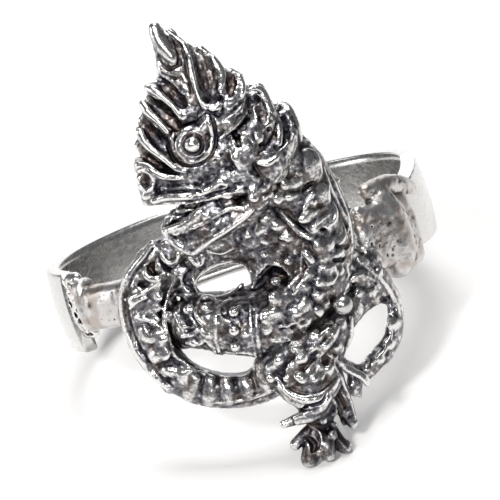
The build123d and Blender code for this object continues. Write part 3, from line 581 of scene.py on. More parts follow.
# The camera, and the soft square lights: place, size and power in metres and watts
CAMERA_AWAY = 250.0
FIELD = 26.3             # millimetres across the picture at the ring's middle
ROLL = 15.0
AIM_RIGHT, AIM_UP = 0.421, -0.158
SENSOR = 36
CLIP = (0.01, 10)
Light = namedtuple("Light", "name place size power")
LIGHTS = [
    Light("key", (-0.09, -0.16, 0.18), 0.045, 0.42),
    Light("fill", (0.01, -0.215, 0.13), 0.050, 0.16),
    Light("top", (0.03, 0.05, 0.24), 0.14, 0.55),
    Light("left", (-0.20, 0.02, 0.06), 0.07, 0.08),
    Light("back", (0.02, 0.30, 0.10), 0.26, 0.35),
]
LIT_PLACE = (0, 0, 0.01)
FLOOR_SIZE = 4
FOOT_LEVELS = (1.0, 3.8)  # painted shade: the casting is painted blackest below these heights over the floor, standing in for a dark reflection there
FOOT_PAINTED_SHADE = 0.38
RELIEFS = (("fine_relief", 0.14), ("broad_relief", 0.45))  # names, and widths over which they are taken

Layer = namedtuple("Layer", "where depth")
CORNERS = [(i, j, k) for i in (0, 1) for j in (0, 1) for k in (0, 1)]


def from_face(points):
    """Millimetres across, lift and up before the finger to x, y and z round the finger."""
    across, lift, up = points.T
    return np.stack([across, -np.sqrt((BORE + lift) ** 2 - across ** 2), up], 1)


def rolled(points):
    """The band leans a little sideways under the dragon."""
    x, y, z = points.T
    return np.stack([x * math.cos(BAND_ROLL) - z * math.sin(BAND_ROLL), y,
                     x * math.sin(BAND_ROLL) + z * math.cos(BAND_ROLL)], 1)


def from_shoulder(points):
    """Millimetres of arc from the front, lift and up to x, y and z round the finger."""
    arc, lift, up = points.T
    return rolled(np.stack([(BORE + lift) * np.sin(arc / BORE), -(BORE + lift) * np.cos(arc / BORE), up], 1))


def to_row(points):
    """Millimetres round the finger to metres in the row's frame, where the ring leans back."""
    x, y, z = points.T
    rows = np.stack([x, y * math.cos(LEAN) + z * math.sin(LEAN), z * math.cos(LEAN) - y * math.sin(LEAN)], 1)
    return (rows + RING_CENTRE) * MM


def box(first, last):
    """A window of a grid as slices."""
    return tuple(slice(i, j) for i, j in zip(first, last))


class Clay:
    """A form as signed distances, negative inside, on a grid of across, lift and up."""

    def __init__(self, low, high, cell, base=0.0, seen_at=BODY_SEEN_AT):
        self.cell = cell
        self.base = base
        self.seen_at = seen_at
        self.low = np.array(low, float)
        self.axes = [np.arange(a, b + cell, cell, dtype=np.float32) for a, b in zip(low, high)]
        self.depth = np.full([len(axis) for axis in self.axes], REACH, np.float32)

    def window(self, low, high):
        """The part of the grid inside a box: its first and last places."""
        first = np.floor((np.array(low) - self.low) / self.cell).astype(int)
        last = np.ceil((np.array(high) - self.low) / self.cell).astype(int) + 1
        return np.clip(first, 0, self.depth.shape), np.clip(last, 0, self.depth.shape)

    def grid(self, first, last):
        """Coordinates of a window, ready to be combined."""
        a, b, c = (axis[i:j] for axis, i, j in zip(self.axes, first, last))
        return a[:, None, None], b[None, :, None], c[None, None, :]

    def tube(self, line, flat=1.0, reach=REACH):
        """Distances to a tube along a line of across, lift, up and radius, its depth squeezed by flat."""
        room = line[:, 3:].max() + reach
        first, last = self.window(line[:, :3].min(0) - room, line[:, :3].max(0) + room)
        layer = np.full(np.maximum(last - first, 0), reach, np.float32)
        for start, end in zip(line, line[1:]):
            room = max(start[3], end[3]) + reach
            low, high = self.window(np.minimum(start, end)[:3] - room, np.maximum(start, end)[:3] + room)
            if (high <= low).any():
                continue
            a, b, c = self.grid(low, high)
            run = ((end - start)[:3] / (1, flat, 1)).astype(np.float32)
            off = (a - np.float32(start[0]), (b - np.float32(start[1])) / np.float32(flat),
                   c - np.float32(start[2]))
            length = max(float(run @ run), TINY)
            along = np.clip((off[0] * run[0] + off[1] * run[1] + off[2] * run[2]) / length, 0, 1)
            gap = np.sqrt((off[0] - along * run[0]) ** 2 + (off[1] - along * run[1]) ** 2
                          + (off[2] - along * run[2]) ** 2)
            gap = (gap - start[3] - along * (end[3] - start[3])) * min(1, flat)
            part = box(low - first, high - first)
            layer[part] = np.minimum(layer[part], gap)
        return Layer(box(first, last), layer)

    def ball(self, centre, radius, squash=(1, 1, 1)):
        """Distances to a ball, or to an oval one, at across, lift and up."""
        room = radius * max(squash) + STROKE_REACH
        first, last = self.window(np.array(centre) - room, np.array(centre) + room)
        a, b, c = self.grid(first, last)
        gap = np.sqrt(((a - centre[0]) / squash[0]) ** 2 + ((b - centre[1]) / squash[1]) ** 2
                      + ((c - centre[2]) / squash[2]) ** 2) - radius
        return Layer(box(first, last), (gap * min(squash)).astype(np.float32))

    def oval(self, across, up, half_width, half_height, turn):
        """An oval hole right through, turned in the plane of the photographed face."""
        size = FIGURE * np.array((half_width, half_height))
        x, z = across * FIGURE, up * FIGURE
        room = size.max() + REACH
        first, last = self.window((x - room, -1, z - room), (x + room, FIGURE, z + room))
        a, b, c = self.grid(first, last)
        angle = math.radians(turn)
        along = (a - x) * math.cos(angle) + (c - z) * math.sin(angle)
        beside = (c - z) * math.cos(angle) - (a - x) * math.sin(angle)
        gap = (np.hypot(along / size[0], beside / size[1]) - 1) * size.min() + 0 * b
        return Layer(box(first, last), gap.astype(np.float32))

    def add(self, layer, blend=SOFT):
        """Grows a form onto the clay, rounded where they meet."""
        old = self.depth[layer.where]
        mix = np.clip(0.5 + (layer.depth - old) / (2 * blend), 0, 1)
        self.depth[layer.where] = layer.depth + (old - layer.depth) * mix - blend * mix * (1 - mix)

    def cut(self, layer, blend=CRISP):
        """Takes a form away from the clay."""
        old = self.depth[layer.where]
        mix = np.clip(0.5 - (layer.depth + old) / (2 * blend), 0, 1)
        self.depth[layer.where] = old + (-layer.depth - old) * mix + blend * mix * (1 - mix)

    def front(self, across, up):
        """How far out the clay's surface is at some places, or nan where there is none."""
        i = np.clip(np.round((across - self.low[0]) / self.cell).astype(int), 0, self.depth.shape[0] - 1)
        k = np.clip(np.round((up - self.low[2]) / self.cell).astype(int), 0, self.depth.shape[2] - 1)
        columns = self.depth[i, :, k]
        inside = columns < 0
        last = self.depth.shape[1] - 1 - np.argmax(inside[:, ::-1], 1)
        ahead = np.minimum(last + 1, self.depth.shape[1] - 1)
        row = np.arange(len(i))
        here, there = columns[row, last], columns[row, ahead]
        part = np.clip(here / np.minimum(here - there, -TINY), 0, 1)
        lift = self.low[1] + (last + part) * self.cell
        return np.where(inside.any(1), lift, np.nan)


def smooth_line(rows, steps=LINE_STEPS):
    """Points on the smooth line through the rows, with the columns blended alike."""
    rows = np.array(rows, float)
    padded = np.vstack([2 * rows[0] - rows[1], rows, 2 * rows[-1] - rows[-2]])
    points = []
    for p, q, r, s in zip(padded, padded[1:], padded[2:], padded[3:]):
        for t in np.arange(steps) / steps:
            points.append(0.5 * (2 * q + (r - p) * t + (2 * p - 5 * q + 4 * r - s) * t ** 2
                                 + (3 * q - p - 3 * r + s) * t ** 3))
    return np.array(points + [rows[-1]])


def solid_line(rows):
    """A smooth line in millimetres, as across, lift, up and radius, from rows of shares."""
    return smooth_line(np.array(rows) * FIGURE)[:, [0, 2, 1, 3]]


def filled(values):
    """The values with the missing ones filled in between their neighbours in the row."""
    known = np.flatnonzero(~np.isnan(values))
    if not len(known):
        return None
    return np.interp(np.arange(len(values)), known, values[known])


def draped_line(clay, rows, sink, steps=LINE_STEPS):
    """A smooth line laid on the clay where the camera sees it, sunk by a share of its radius."""
    line = smooth_line(np.array(rows) * FIGURE, steps)
    across, seen, radius = line.T
    up = seen.copy()
    for _ in range(DRAPE_PASSES):
        lift = filled(clay.front(across, up))
        if lift is None:
            return None
        out = np.sqrt(np.maximum((BORE + clay.base + lift) ** 2 - across ** 2, 0))
        up = seen + (out - clay.seen_at) * math.tan(math.radians(EYE_HEIGHT))
    if len(lift) >= EVENED:
        beside = EVENED // 2
        ends = np.concatenate([[lift[0]] * beside, lift, [lift[-1]] * beside])
        lift = np.convolve(ends, np.ones(EVENED) / EVENED, "valid")
    return np.stack([across, lift - sink * radius, up, radius], 1)


def lay(clay, strokes, sink=BEDDED, blend=FINE):
    """Lays raised rims on the clay."""
    for rows in strokes:
        line = draped_line(clay, rows, sink)
        if line is not None:
            clay.add(clay.tube(line, reach=STROKE_REACH), blend)


def press(clay, strokes, sink=0.0, blend=FINE):
    """Presses grooves into the clay."""
    for rows in strokes:
        line = draped_line(clay, rows, sink)
        if line is not None:
            clay.cut(clay.tube(line, reach=STROKE_REACH), blend)


def grow(clay, forms, line, blend=SOFT, flat=1.0):
    """Adds solid forms, each a tube along its own line."""
    for rows in forms:
        clay.add(clay.tube(line(rows), flat), blend)


def circle(across, up, size, width):
    """A stroke's rows round a circle."""
    return [(across + size * math.cos(turn), up + size * math.sin(turn), width)
            for turn in np.linspace(0, 2 * math.pi, CIRCLE_ROWS)]


def spot(clay, across, up, radius, sink=BEDDED, blend=FINE, squash=(1, 1, 1), cut=False):
    """Sets a bead on the clay, or presses a pit into it, where the camera sees it."""
    line = draped_line(clay, [(across, up, radius), (across, up, radius)], 0 if cut else sink, 1)
    if line is not None:
        change = clay.cut if cut else clay.add
        change(clay.ball(line[0, :3], radius * FIGURE, squash), blend)


def clumps(clay, table, seed, scale=1.0):
    """Sets uneven lumps on the clay: each is a few drops of metal run together."""
    chance = np.random.default_rng(SEEDS[seed])
    for across, up, size in table:
        radius = scale * size
        for share in CLUMP:
            turn, out = chance.uniform(0, 2 * math.pi), radius * chance.uniform(*CLUMP_SPREAD)
            squash = (chance.uniform(*CLUMP_SHAPE), CLUMP_FLAT, chance.uniform(*CLUMP_SHAPE))
            spot(clay, across + out * math.cos(turn), up + out * math.sin(turn), CLUMP_SIZE * share * radius,
                 CLUMP_SINK, 2 * CRISP, squash)


def between(table, whole, part, total):
    """Adds to the total a table's values at the eight corners round each place, weighed by nearness."""
    x, y, z = table.shape
    for i, j, k in CORNERS:
        weight = np.abs(1 - i - part[:, 0]) * np.abs(1 - j - part[:, 1]) * np.abs(1 - k - part[:, 2])
        total += weight * table[(whole[:, 0] + i) % x, (whole[:, 1] + j) % y, (whole[:, 2] + k) % z]
    return total


def lattice_noise(points, size, seed):
    """Smooth noise between -1 and 1 with bumps of about the given size."""
    table = np.random.default_rng(seed).uniform(-1, 1, [GRAIN_TABLE] * 3).astype(np.float32)
    whole = np.floor(points / size).astype(int)
    part = points / size - whole
    return between(table, whole, part * part * (3 - 2 * part), np.zeros(len(points), np.float32))


def roughen(clay, grain, skin):
    """Gives the clay the uneven skin of a casting."""
    near = np.nonzero(np.abs(clay.depth) < GRAIN_REACH)
    points = np.stack([axis[n] for axis, n in zip(clay.axes, near)], 1)
    change = sum(height * lattice_noise(points, size, SEEDS[skin] + n)
                 for n, (size, height) in enumerate(grain))
    clay.depth[near] += change.astype(np.float32)


def pieces(members):
    """How many groups joined by cell edges a set of corners makes."""
    left, count = set(members), 0
    while left:
        count += 1
        queue = [left.pop()]
        while queue:
            at = queue.pop()
            beside = {m for m in left if sum(abs(p - q) for p, q in zip(at, m)) == 1}
            left -= beside
            queue.extend(beside)
    return count


def pinching_cells():
    """Which fillings of a cell's corners would pinch the surface."""
    pinched = np.zeros(2 ** len(CORNERS), bool)
    for code in range(len(pinched)):
        inside = [c for n, c in enumerate(CORNERS) if code >> n & 1]
        outside = [c for n, c in enumerate(CORNERS) if not code >> n & 1]
        pinched[code] = pieces(inside) > 1 or pieces(outside) > 1
    return pinched


def close_pinches(clay):
    """Fills the few grid points round which the surface would touch itself."""
    depth = clay.depth
    pinched = pinching_cells()
    shape = [n - 1 for n in depth.shape]
    while True:
        code = np.zeros(shape, np.uint8)
        for n, (i, j, k) in enumerate(CORNERS):
            code |= (depth[i:i + shape[0], j:j + shape[1], k:k + shape[2]] < 0).astype(np.uint8) << n
        cells = np.argwhere(pinched[code])
        if not len(cells):
            return
        around = cells[:, None, :] + np.array(CORNERS)[None]
        values = depth[around[..., 0], around[..., 1], around[..., 2]]
        nearest = np.where(values > 0, values, REACH * 2).argmin(1)
        spots = around[np.arange(len(cells)), nearest]
        depth[spots[:, 0], spots[:, 1], spots[:, 2]] = -FILLED * clay.cell


def main_shell(points, quads):
    """Leaves out loose crumbs and shut-in hollows: what hangs together round the most points stays."""
    label = np.arange(len(points))
    while True:
        lowest = label[quads].min(1)
        spread = label.copy()
        for corner in range(4):
            np.minimum.at(spread, quads[:, corner], lowest)
        spread = spread[spread]
        if (spread == label).all():
            break
        label = spread
    kept = label[quads[:, 0]] == np.bincount(label).argmax()
    used, place = np.unique(quads[kept], return_inverse=True)
    return points[used], place.reshape(-1, 4)


def surface(clay):
    """The surface as one point in each cell that it crosses, and four-sided faces between them."""
    close_pinches(clay)
    depth = clay.depth
    shape = [n - 1 for n in depth.shape]
    cells, spots, quads = [], [], []
    for axis in range(3):
        ahead, behind = [slice(None)] * 3, [slice(None)] * 3
        ahead[axis], behind[axis] = slice(1, None), slice(None, -1)
        first, second = depth[tuple(behind)], depth[tuple(ahead)]
        crossed = np.argwhere((first < 0) != (second < 0))
        one, two = first[tuple(crossed.T)], second[tuple(crossed.T)]
        spot_at = crossed.astype(float)
        spot_at[:, axis] += np.clip(one / (one - two), NEAREST, 1 - NEAREST)
        side, over = [n for n in range(3) if n != axis]
        ring = []
        for back_side, back_over in ((1, 1), (0, 1), (0, 0), (1, 0)):
            cell = crossed.copy()
            cell[:, side] -= back_side
            cell[:, over] -= back_over
            ring.append(np.ravel_multi_index(tuple(cell.T), shape))
            cells.append(ring[-1])
            spots.append(spot_at)
        ring = np.stack(ring, 1)
        turned = (one < 0) != (axis == 1)
        ring[turned] = ring[turned][:, ::-1]
        quads.append(ring)
    used, place = np.unique(np.concatenate(cells), return_inverse=True)
    spots = np.concatenate(spots)
    count = np.bincount(place)
    points = np.stack([np.bincount(place, spots[:, n]) / count for n in range(3)], 1)
    return main_shell(points, np.searchsorted(used, np.concatenate(quads)))


def blurred(field, steps):
    """The field's average over a box that reaches some steps to each side."""
    for axis in range(3):
        pad = [(0, 0)] * 3
        pad[axis] = (steps + 1, steps)
        total = np.cumsum(np.pad(field, pad, "edge"), axis, dtype=np.float64)
        high, low = [slice(None)] * 3, [slice(None)] * 3
        high[axis], low[axis] = slice(2 * steps + 1, None), slice(None, -2 * steps - 1)
        field = ((total[tuple(high)] - total[tuple(low)]) / (2 * steps + 1)).astype(np.float32)
    return field


def sampled(field, points):
    """The field's values between grid points."""
    whole = np.clip(np.floor(points).astype(int), 0, np.array(field.shape) - 2)
    return between(field, whole, points - whole, np.zeros(len(points)))


def clay_mesh(name, clay, place):
    """A mesh of the clay in the row's frame, with how far each point stands out or lies in a hollow."""
    points, quads = surface(clay)
    reliefs = {}
    for key, width in RELIEFS:
        steps = max(1, round(width / clay.cell))
        reliefs[key] = sampled(blurred(np.clip(clay.depth, -width, width), steps), points) / width
    spots = clay.low + points * clay.cell + (0, clay.base, 0)
    rows = to_row(place(spots))
    return make_mesh(name, rows, quads, reliefs)


def make_mesh(name, points, quads, reliefs=None):
    """A smooth-shaded mesh object from arrays of points and four-sided faces."""
    mesh = bpy.data.meshes.new(name)
    mesh.vertices.add(len(points))
    mesh.vertices.foreach_set("co", np.ascontiguousarray(points, np.float32).ravel())
    mesh.loops.add(quads.size)
    mesh.loops.foreach_set("vertex_index", np.ascontiguousarray(quads, np.int32).ravel())
    mesh.polygons.add(len(quads))
    mesh.polygons.foreach_set("loop_start", np.arange(0, quads.size, 4, dtype=np.int32))
    mesh.polygons.foreach_set("use_smooth", np.ones(len(quads), bool))
    mesh.update(calc_edges=True)
    mesh.validate()
    for key, values in (reliefs or {}).items():
        layer = mesh.attributes.new(key, "FLOAT", "POINT")
        layer.data.foreach_set("value", np.ascontiguousarray(values, np.float32))
    thing = bpy.data.objects.new(name, mesh)
    bpy.context.scene.collection.objects.link(thing)
    return thing


def dress(thing, material):
    """Gives a piece its material and its place in the frame."""
    thing.data.materials.append(material)
    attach(thing, "root")
    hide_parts("dragon_ring")


def half_line(rows):
    """A head form's rows as a line from the middle plane outwards."""
    return smooth_line(np.array([(across, side, up, radius) for across, up, side, radius in rows]) * FIGURE)


def head_clay():
    """The head and crest: one half modelled from the middle plane outwards, then mirrored."""
    low, high = np.array(HEAD_GRID) * FIGURE
    half = Clay(low, high, HEAD_CELL, HEAD_LIFT, HEAD_SEEN_AT)
    grow(half, (SKULL, TONGUE, FACE_FILL, LOWER_LIP), half_line, CRISP)
    grow(half, (CREST,), half_line, SOFT, CREST_DEPTH)
    grow(half, LEAVES, half_line, CRISP, LEAF_DEPTH)
    grow(half, FLAMES + PETALS + [NOSE, UPPER_LIP, LOWER_JAW], half_line, CRISP)
    model_face(half)
    whole = Clay((low[0], -high[1], low[2]), high, HEAD_CELL, HEAD_LIFT, HEAD_SEEN_AT)
    whole.depth = np.concatenate([half.depth[:, :0:-1], half.depth], 1)
    whole.axes[1] = np.concatenate([-half.axes[1][:0:-1], half.axes[1]])
    whole.low[1] = whole.axes[1][0]
    roughen(whole, FINISH_GRAIN, "head finish")
    return whole


def model_face(clay):
    """Strokes of the face and crest, laid where the photograph shows them."""
    press(clay, HEAD_SCOOPS, HEAD_SCOOP_SINK, CRISP)
    press(clay, HEAD_GROOVES)
    for pit in HEAD_PITS:
        spot(clay, *pit, cut=True)
    for knob in KNOBS:
        spot(clay, *knob, KNOB_SINK)
    lay(clay, [CHEEK], CHEEK_SINK, CRISP * 2)
    roughen(clay, SKIN_GRAIN, "head skin")
    lay(clay, HEAD_LINES, LINE_SINK)
    lay(clay, [HORN], PROUD_SINK, CRISP)
    lay(clay, HEAD_RIMS, RIM_SINK)
    model_eye(clay)
    spot(clay, *NOSTRIL, cut=True, squash=NOSTRIL_SHAPE)
    lay(clay, [NOSTRIL_RIM], RIM_SINK)
    for across, up in TEETH:
        spot(clay, across, up, TOOTH, RIM_SINK, squash=TOOTH_SHAPE)


def model_eye(clay):
    """The eye: a plate undercut all round, its tip and rim, two rings and the eyeball."""
    middle = np.array((*EYE_PLATE[:2], 0))
    press(clay, [[middle + (np.array(row) - middle) * (EYE_SHADOW, EYE_SHADOW, 1) for row in EYE_RIM]])
    spot(clay, *EYE_PLATE, EYE_SINK, FINE, (1, EYE_PLATE_DEPTH, 1))
    lay(clay, [EYE_TIP, EYE_RIM], EYE_RIM_SINK)
    press(clay, [circle(*EYE_SPOT, size, width) for size, width in EYE_GROOVES])
    spot(clay, *EYE_SPOT, EYE / 2 / FIGURE, EYE_SINK)


def trunk_clay():
    """The trunk with its belt, the chest and the scaled neck."""
    clay = Clay(*(np.array(TRUNK_GRID) * FIGURE), TRUNK_CELL)
    grow(clay, (LAP, THROAT, CHEST, THROAT_FILL, NAPE_FILL, BODY), solid_line)
    press(clay, TRUNK_SCOOPS, SCOOP_SINK, CRISP)
    press(clay, TRUNK_GROOVES)
    roughen(clay, SKIN_GRAIN, "trunk skin")
    clumps(clay, TRUNK_LUMPS, "trunk lumps")
    for across, up, wide, tall in NECK_PLATES:
        spot(clay, across, up, wide, PLATE_SINK, CRISP, (1, PLATE_DEPTH, tall / wide))
    roughen(clay, LUMP_GRAIN, "trunk lump skin")
    spot(clay, *POCKET_BALL, POCKET_SINK, CRISP)
    lay(clay, TRUNK_RIDGES + NECK_LINES, RIM_SINK)
    for across, up in STUDS:
        spot(clay, across, up, STUD / 2 / FIGURE, STUD_SINK)
    grow(clay, SPIKES, solid_line, FINE)
    clay.cut(clay.oval(*GAPS[0]))
    keep_bore(clay)
    roughen(clay, FINISH_GRAIN, "trunk finish")
    return clay


def tail_clay():
    """The round coil under the trunk with its loop, web and fin."""
    clay = Clay(*(np.array(TAIL_GRID) * FIGURE), TAIL_CELL)
    grow(clay, (TAIL, LOOP, WEB, LOOP_WEB), solid_line)
    grow(clay, (FIN,), solid_line, CRISP)
    press(clay, TAIL_SCOOPS, SCOOP_SINK, CRISP)
    roughen(clay, SKIN_GRAIN, "tail skin")
    clumps(clay, TAIL_LUMPS, "tail lumps", TAIL_CLUMP)
    roughen(clay, LUMP_GRAIN, "tail lump skin")
    lay(clay, TAIL_RIDGES, RIM_SINK)
    lay(clay, TAIL_RINGS, PROUD_SINK)
    lay(clay, TAIL_BARS, BAR_SINK, CRISP)
    press(clay, [[(across + STRIP_GROOVE, up, GROOVE_WIDTH * radius) for across, up, radius in OUTER_STRIP]])
    lay(clay, [OUTER_STRIP], RIM_SINK)
    for gap in GAPS[1:]:
        clay.cut(clay.oval(*gap))
    keep_bore(clay)
    roughen(clay, FINISH_GRAIN, "tail finish")
    return clay


def leg_clay():
    """The leg with its flared cuffs, spurs and clawed foot."""
    clay = Clay(*(np.array(LEG_GRID) * FIGURE), LEG_CELL)
    grow(clay, [LEG] + THIGH, solid_line)
    grow(clay, TOES + SPURS + CUFFS, solid_line, CRISP)
    lay(clay, LEG_RIDGES)
    press(clay, LEG_GROOVES)
    clumps(clay, LEG_LUMPS, "leg lumps")
    keep_bore(clay)
    roughen(clay, CASTING_GRAIN, "leg skin")
    return clay


def keep_bore(clay):
    """Keeps the clay clear of the finger."""
    clay.depth = np.maximum(clay.depth, FINGER_GAP - clay.axes[1][None, :, None])


def add_bar(clay, bar):
    """Adds a bent bar with rounded edges, its outside swelling along its middle."""
    a, b, c = clay.grid((0, 0, 0), clay.depth.shape)
    wall, height, rise = bar.wall * BAND_WALL, bar.height * BAND_WIDTH, bar.rise * BAND_WIDTH
    first, last = math.radians(bar.start) * BORE, math.radians(bar.end) * BORE
    swell = NECK_CROWN * (1 - ((c - rise) / height * 2) ** 2)
    gaps = [np.abs(a - (first + last) / 2) - (last - first) / 2 + SOFT,
            np.abs(b - (wall + swell) / 2) - (wall + swell) / 2 + SOFT,
            np.abs(c - rise) - height / 2 + SOFT]
    outside = np.sqrt(sum(np.maximum(gap, 0) ** 2 for gap in gaps))
    inside = np.minimum(np.maximum(np.maximum(gaps[0], gaps[1]), gaps[2]), 0)
    clay.add(Layer((slice(None),) * 3, (outside + inside - SOFT).astype(np.float32)), CRISP * 2)


def add_drops(clay, table, chance, change, blend):
    """Lays on drops of solder, or presses pits, at random places within their spans."""
    for drop in table:
        for _ in range(drop.count):
            angle, up, size = (chance.uniform(*span) for span in (drop.angles, drop.ups, drop.sizes))
            lift = drop.lift + chance.uniform(-DROP_SCATTER, DROP_SCATTER)
            change(clay.ball((math.radians(angle) * BORE, lift, up), size), blend)


def collar_clay(bars, beads, lumps, pits, solder):
    """The soldered end of the band: its collar and the neck that runs into the dragon."""
    angles = [angle for bar in bars for angle in (bar.start, bar.end)]
    angles += [row[0] for rows in beads for row in rows] + [angle for lump in lumps for angle in lump.angles]
    arcs = np.radians(angles) * BORE
    low = (arcs.min() - SOLDER_ROOM, -SOLDER_INSIDE, -BAND_WIDTH * SOLDER_BELOW)
    high = (arcs.max() + SOLDER_ROOM, bars[0].wall * BAND_WALL + SOLDER_OUTSIDE, BAND_WIDTH * SOLDER_ABOVE)
    clay = Clay(low, high, COLLAR_CELL)
    for bar in bars:
        add_bar(clay, bar)
    for rows in beads:
        line = smooth_line([(math.radians(angle) * BORE, lift, up, radius)
                            for angle, up, lift, radius in rows])
        clay.add(clay.tube(line), CRISP * 2)
    chance = np.random.default_rng(SEEDS[solder])
    add_drops(clay, lumps, chance, clay.add, CRISP * 1.5)
    add_drops(clay, pits, chance, clay.cut, FINE)
    clay.depth = np.maximum(clay.depth, -clay.axes[1][None, :, None])
    roughen(clay, SOLDER_GRAIN, solder)
    return clay


def band_mesh():
    """The polished strip round the back of the finger, with rounded edges and a slight swell."""
    edge, half = BAND_EDGE, BAND_WIDTH / 2
    section = [(0.0, up) for up in np.linspace(-half + edge / 2, half - edge / 2, INNER_STEPS)]
    section += corner_points(edge / 2, half - edge / 2, edge / 2, 180, 90)
    section += corner_points(BAND_WALL - edge, half - edge, edge, 90, 0)
    section += [(BAND_WALL + BAND_CROWN * (1 - (up / (half - edge)) ** 2), up)
                for up in np.linspace(half - edge, edge - half, OUTER_STEPS)[1:-1]]
    section += corner_points(BAND_WALL - edge, edge - half, edge, 0, -90)
    section += corner_points(edge / 2, edge / 2 - half, edge / 2, -90, -180)
    section = np.array(section)
    angles = np.radians(np.linspace(STRIP.start, STRIP.end, BAND_STEPS))
    count, around = len(angles), len(section)
    points = []
    for angle in angles:
        radius = BORE + section[:, 0]
        points.append(np.stack([radius * np.sin(angle), -radius * np.cos(angle), section[:, 1]], 1))
    points = np.concatenate(points)
    filed = BAND_WIDTH / 2 + points[:, 1] * math.tan(math.radians(FILED))
    points[:, 2] = np.where(points[:, 0] > 0, np.minimum(points[:, 2], filed), points[:, 2])
    quads = []
    for step in range(count - 1):
        here = step * around + np.arange(around)
        beside = step * around + np.roll(np.arange(around), -1)
        quads.append(np.stack([here, beside, beside + around, here + around], 1))
    caps = []
    for start, flip in ((0, False), ((count - 1) * around, True)):
        middle = len(points)
        points = np.vstack([points, points[start:start + around].mean(0)])
        ring = start + np.arange(0, around, 2)
        fan = np.stack([np.full(len(ring), middle), start + (np.arange(0, around, 2) + 2) % around,
                        start + (np.arange(0, around, 2) + 1) % around, ring], 1)
        caps.append(fan[:, ::-1] if flip else fan)
    return make_mesh("polished_band", to_row(rolled(points)), np.concatenate(quads + caps))


def corner_points(out, up, radius, start, end):
    """Points round a rounded corner of the band's section."""
    return [(out + radius * math.cos(math.radians(turn)), up + radius * math.sin(math.radians(turn)))
            for turn in np.linspace(start, end, CORNER_STEPS)]


def ball_mesh(name, place, radius):
    """A smooth ball round a place in the clay's coordinates."""
    bpy.ops.mesh.primitive_uv_sphere_add(segments=BALL_SIDES, ring_count=BALL_SIDES // 2, radius=radius * MM)
    ball = bpy.context.object
    ball.name = name
    ball.location = to_row(from_face(np.array([place])))[0]
    bpy.context.view_layer.update()
    for face in ball.data.polygons:
        face.use_smooth = True
    return ball


class Nodes:
    """Short ways to lay out a material's nodes."""

    def __init__(self, name):
        self.material = bpy.data.materials.new(name)
        self.material.use_nodes = True
        self.tree = self.material.node_tree
        self.shader = self.tree.nodes["Principled BSDF"]
        place = self.add("ShaderNodeTexCoord").outputs["Object"]
        self.place = self.add("ShaderNodeVectorMath", operation="SCALE")
        self.tree.links.new(place, self.place.inputs[0])
        self.place.inputs["Scale"].default_value = 1 / MM
        self.place = self.place.outputs[0]

    def add(self, kind, **settings):
        node = self.tree.nodes.new(kind)
        for key, value in settings.items():
            setattr(node, key, value)
        return node

    def link(self, value, socket):
        """Sets a socket to a number or colour, or links another socket to it."""
        if isinstance(value, bpy.types.NodeSocket):
            self.tree.links.new(value, socket)
        else:
            socket.default_value = value

    def noise(self, size, detail=2.0, rough=0.5, stretch=None):
        """Noise with bumps of about the given size in millimetres."""
        place = self.place
        if stretch:
            scaled = self.add("ShaderNodeVectorMath", operation="MULTIPLY")
            self.link(place, scaled.inputs[0])
            scaled.inputs[1].default_value = stretch
            place = scaled.outputs[0]
        node = self.add("ShaderNodeTexNoise")
        self.link(place, node.inputs["Vector"])
        node.inputs["Scale"].default_value = 1 / size
        node.inputs["Detail"].default_value = detail
        node.inputs["Roughness"].default_value = rough
        return node.outputs["Fac"]

    def maths(self, operation, one, two):
        node = self.add("ShaderNodeMath", operation=operation)
        self.link(one, node.inputs[0])
        self.link(two, node.inputs[1])
        return node.outputs[0]

    def uneven(self, size, detail, rough):
        """Noise about nought."""
        return self.maths("SUBTRACT", self.noise(size, detail, rough), 0.5)

    def total(self, *terms):
        """The sum of some values, each times its weight."""
        parts = [self.maths("MULTIPLY", value, weight) for value, weight in terms]
        height = parts[0]
        for part in parts[1:]:
            height = self.maths("ADD", height, part)
        return height

    def range(self, value, low, high, to_low=0.0, to_high=1.0):
        """A value taken smoothly from one range to another."""
        node = self.add("ShaderNodeMapRange", interpolation_type="SMOOTHSTEP")
        for socket, setting in zip(("Value", "From Min", "From Max", "To Min", "To Max"),
                                   (value, low, high, to_low, to_high)):
            self.link(setting, node.inputs[socket])
        return node.outputs[0]

    def mix(self, share, one, two):
        """A colour between two."""
        node = self.add("ShaderNodeMix", data_type="RGBA")
        self.link(share, node.inputs["Factor"])
        self.link(one, node.inputs["A"])
        self.link(two, node.inputs["B"])
        return node.outputs["Result"]

    def attribute(self, name):
        return self.add("ShaderNodeAttribute", attribute_name=name).outputs["Fac"]

    def bump(self, height, strength, distance):
        node = self.add("ShaderNodeBump")
        node.inputs["Strength"].default_value = strength
        node.inputs["Distance"].default_value = distance * MM
        self.link(height, node.inputs["Height"])
        return node.outputs["Normal"]

    def finish(self, **inputs):
        for key, value in inputs.items():
            self.link(value, self.shader.inputs[key.replace("_", " ")])
        return self.material


def rgb(red, green, blue):
    return (red, green, blue, 1.0)


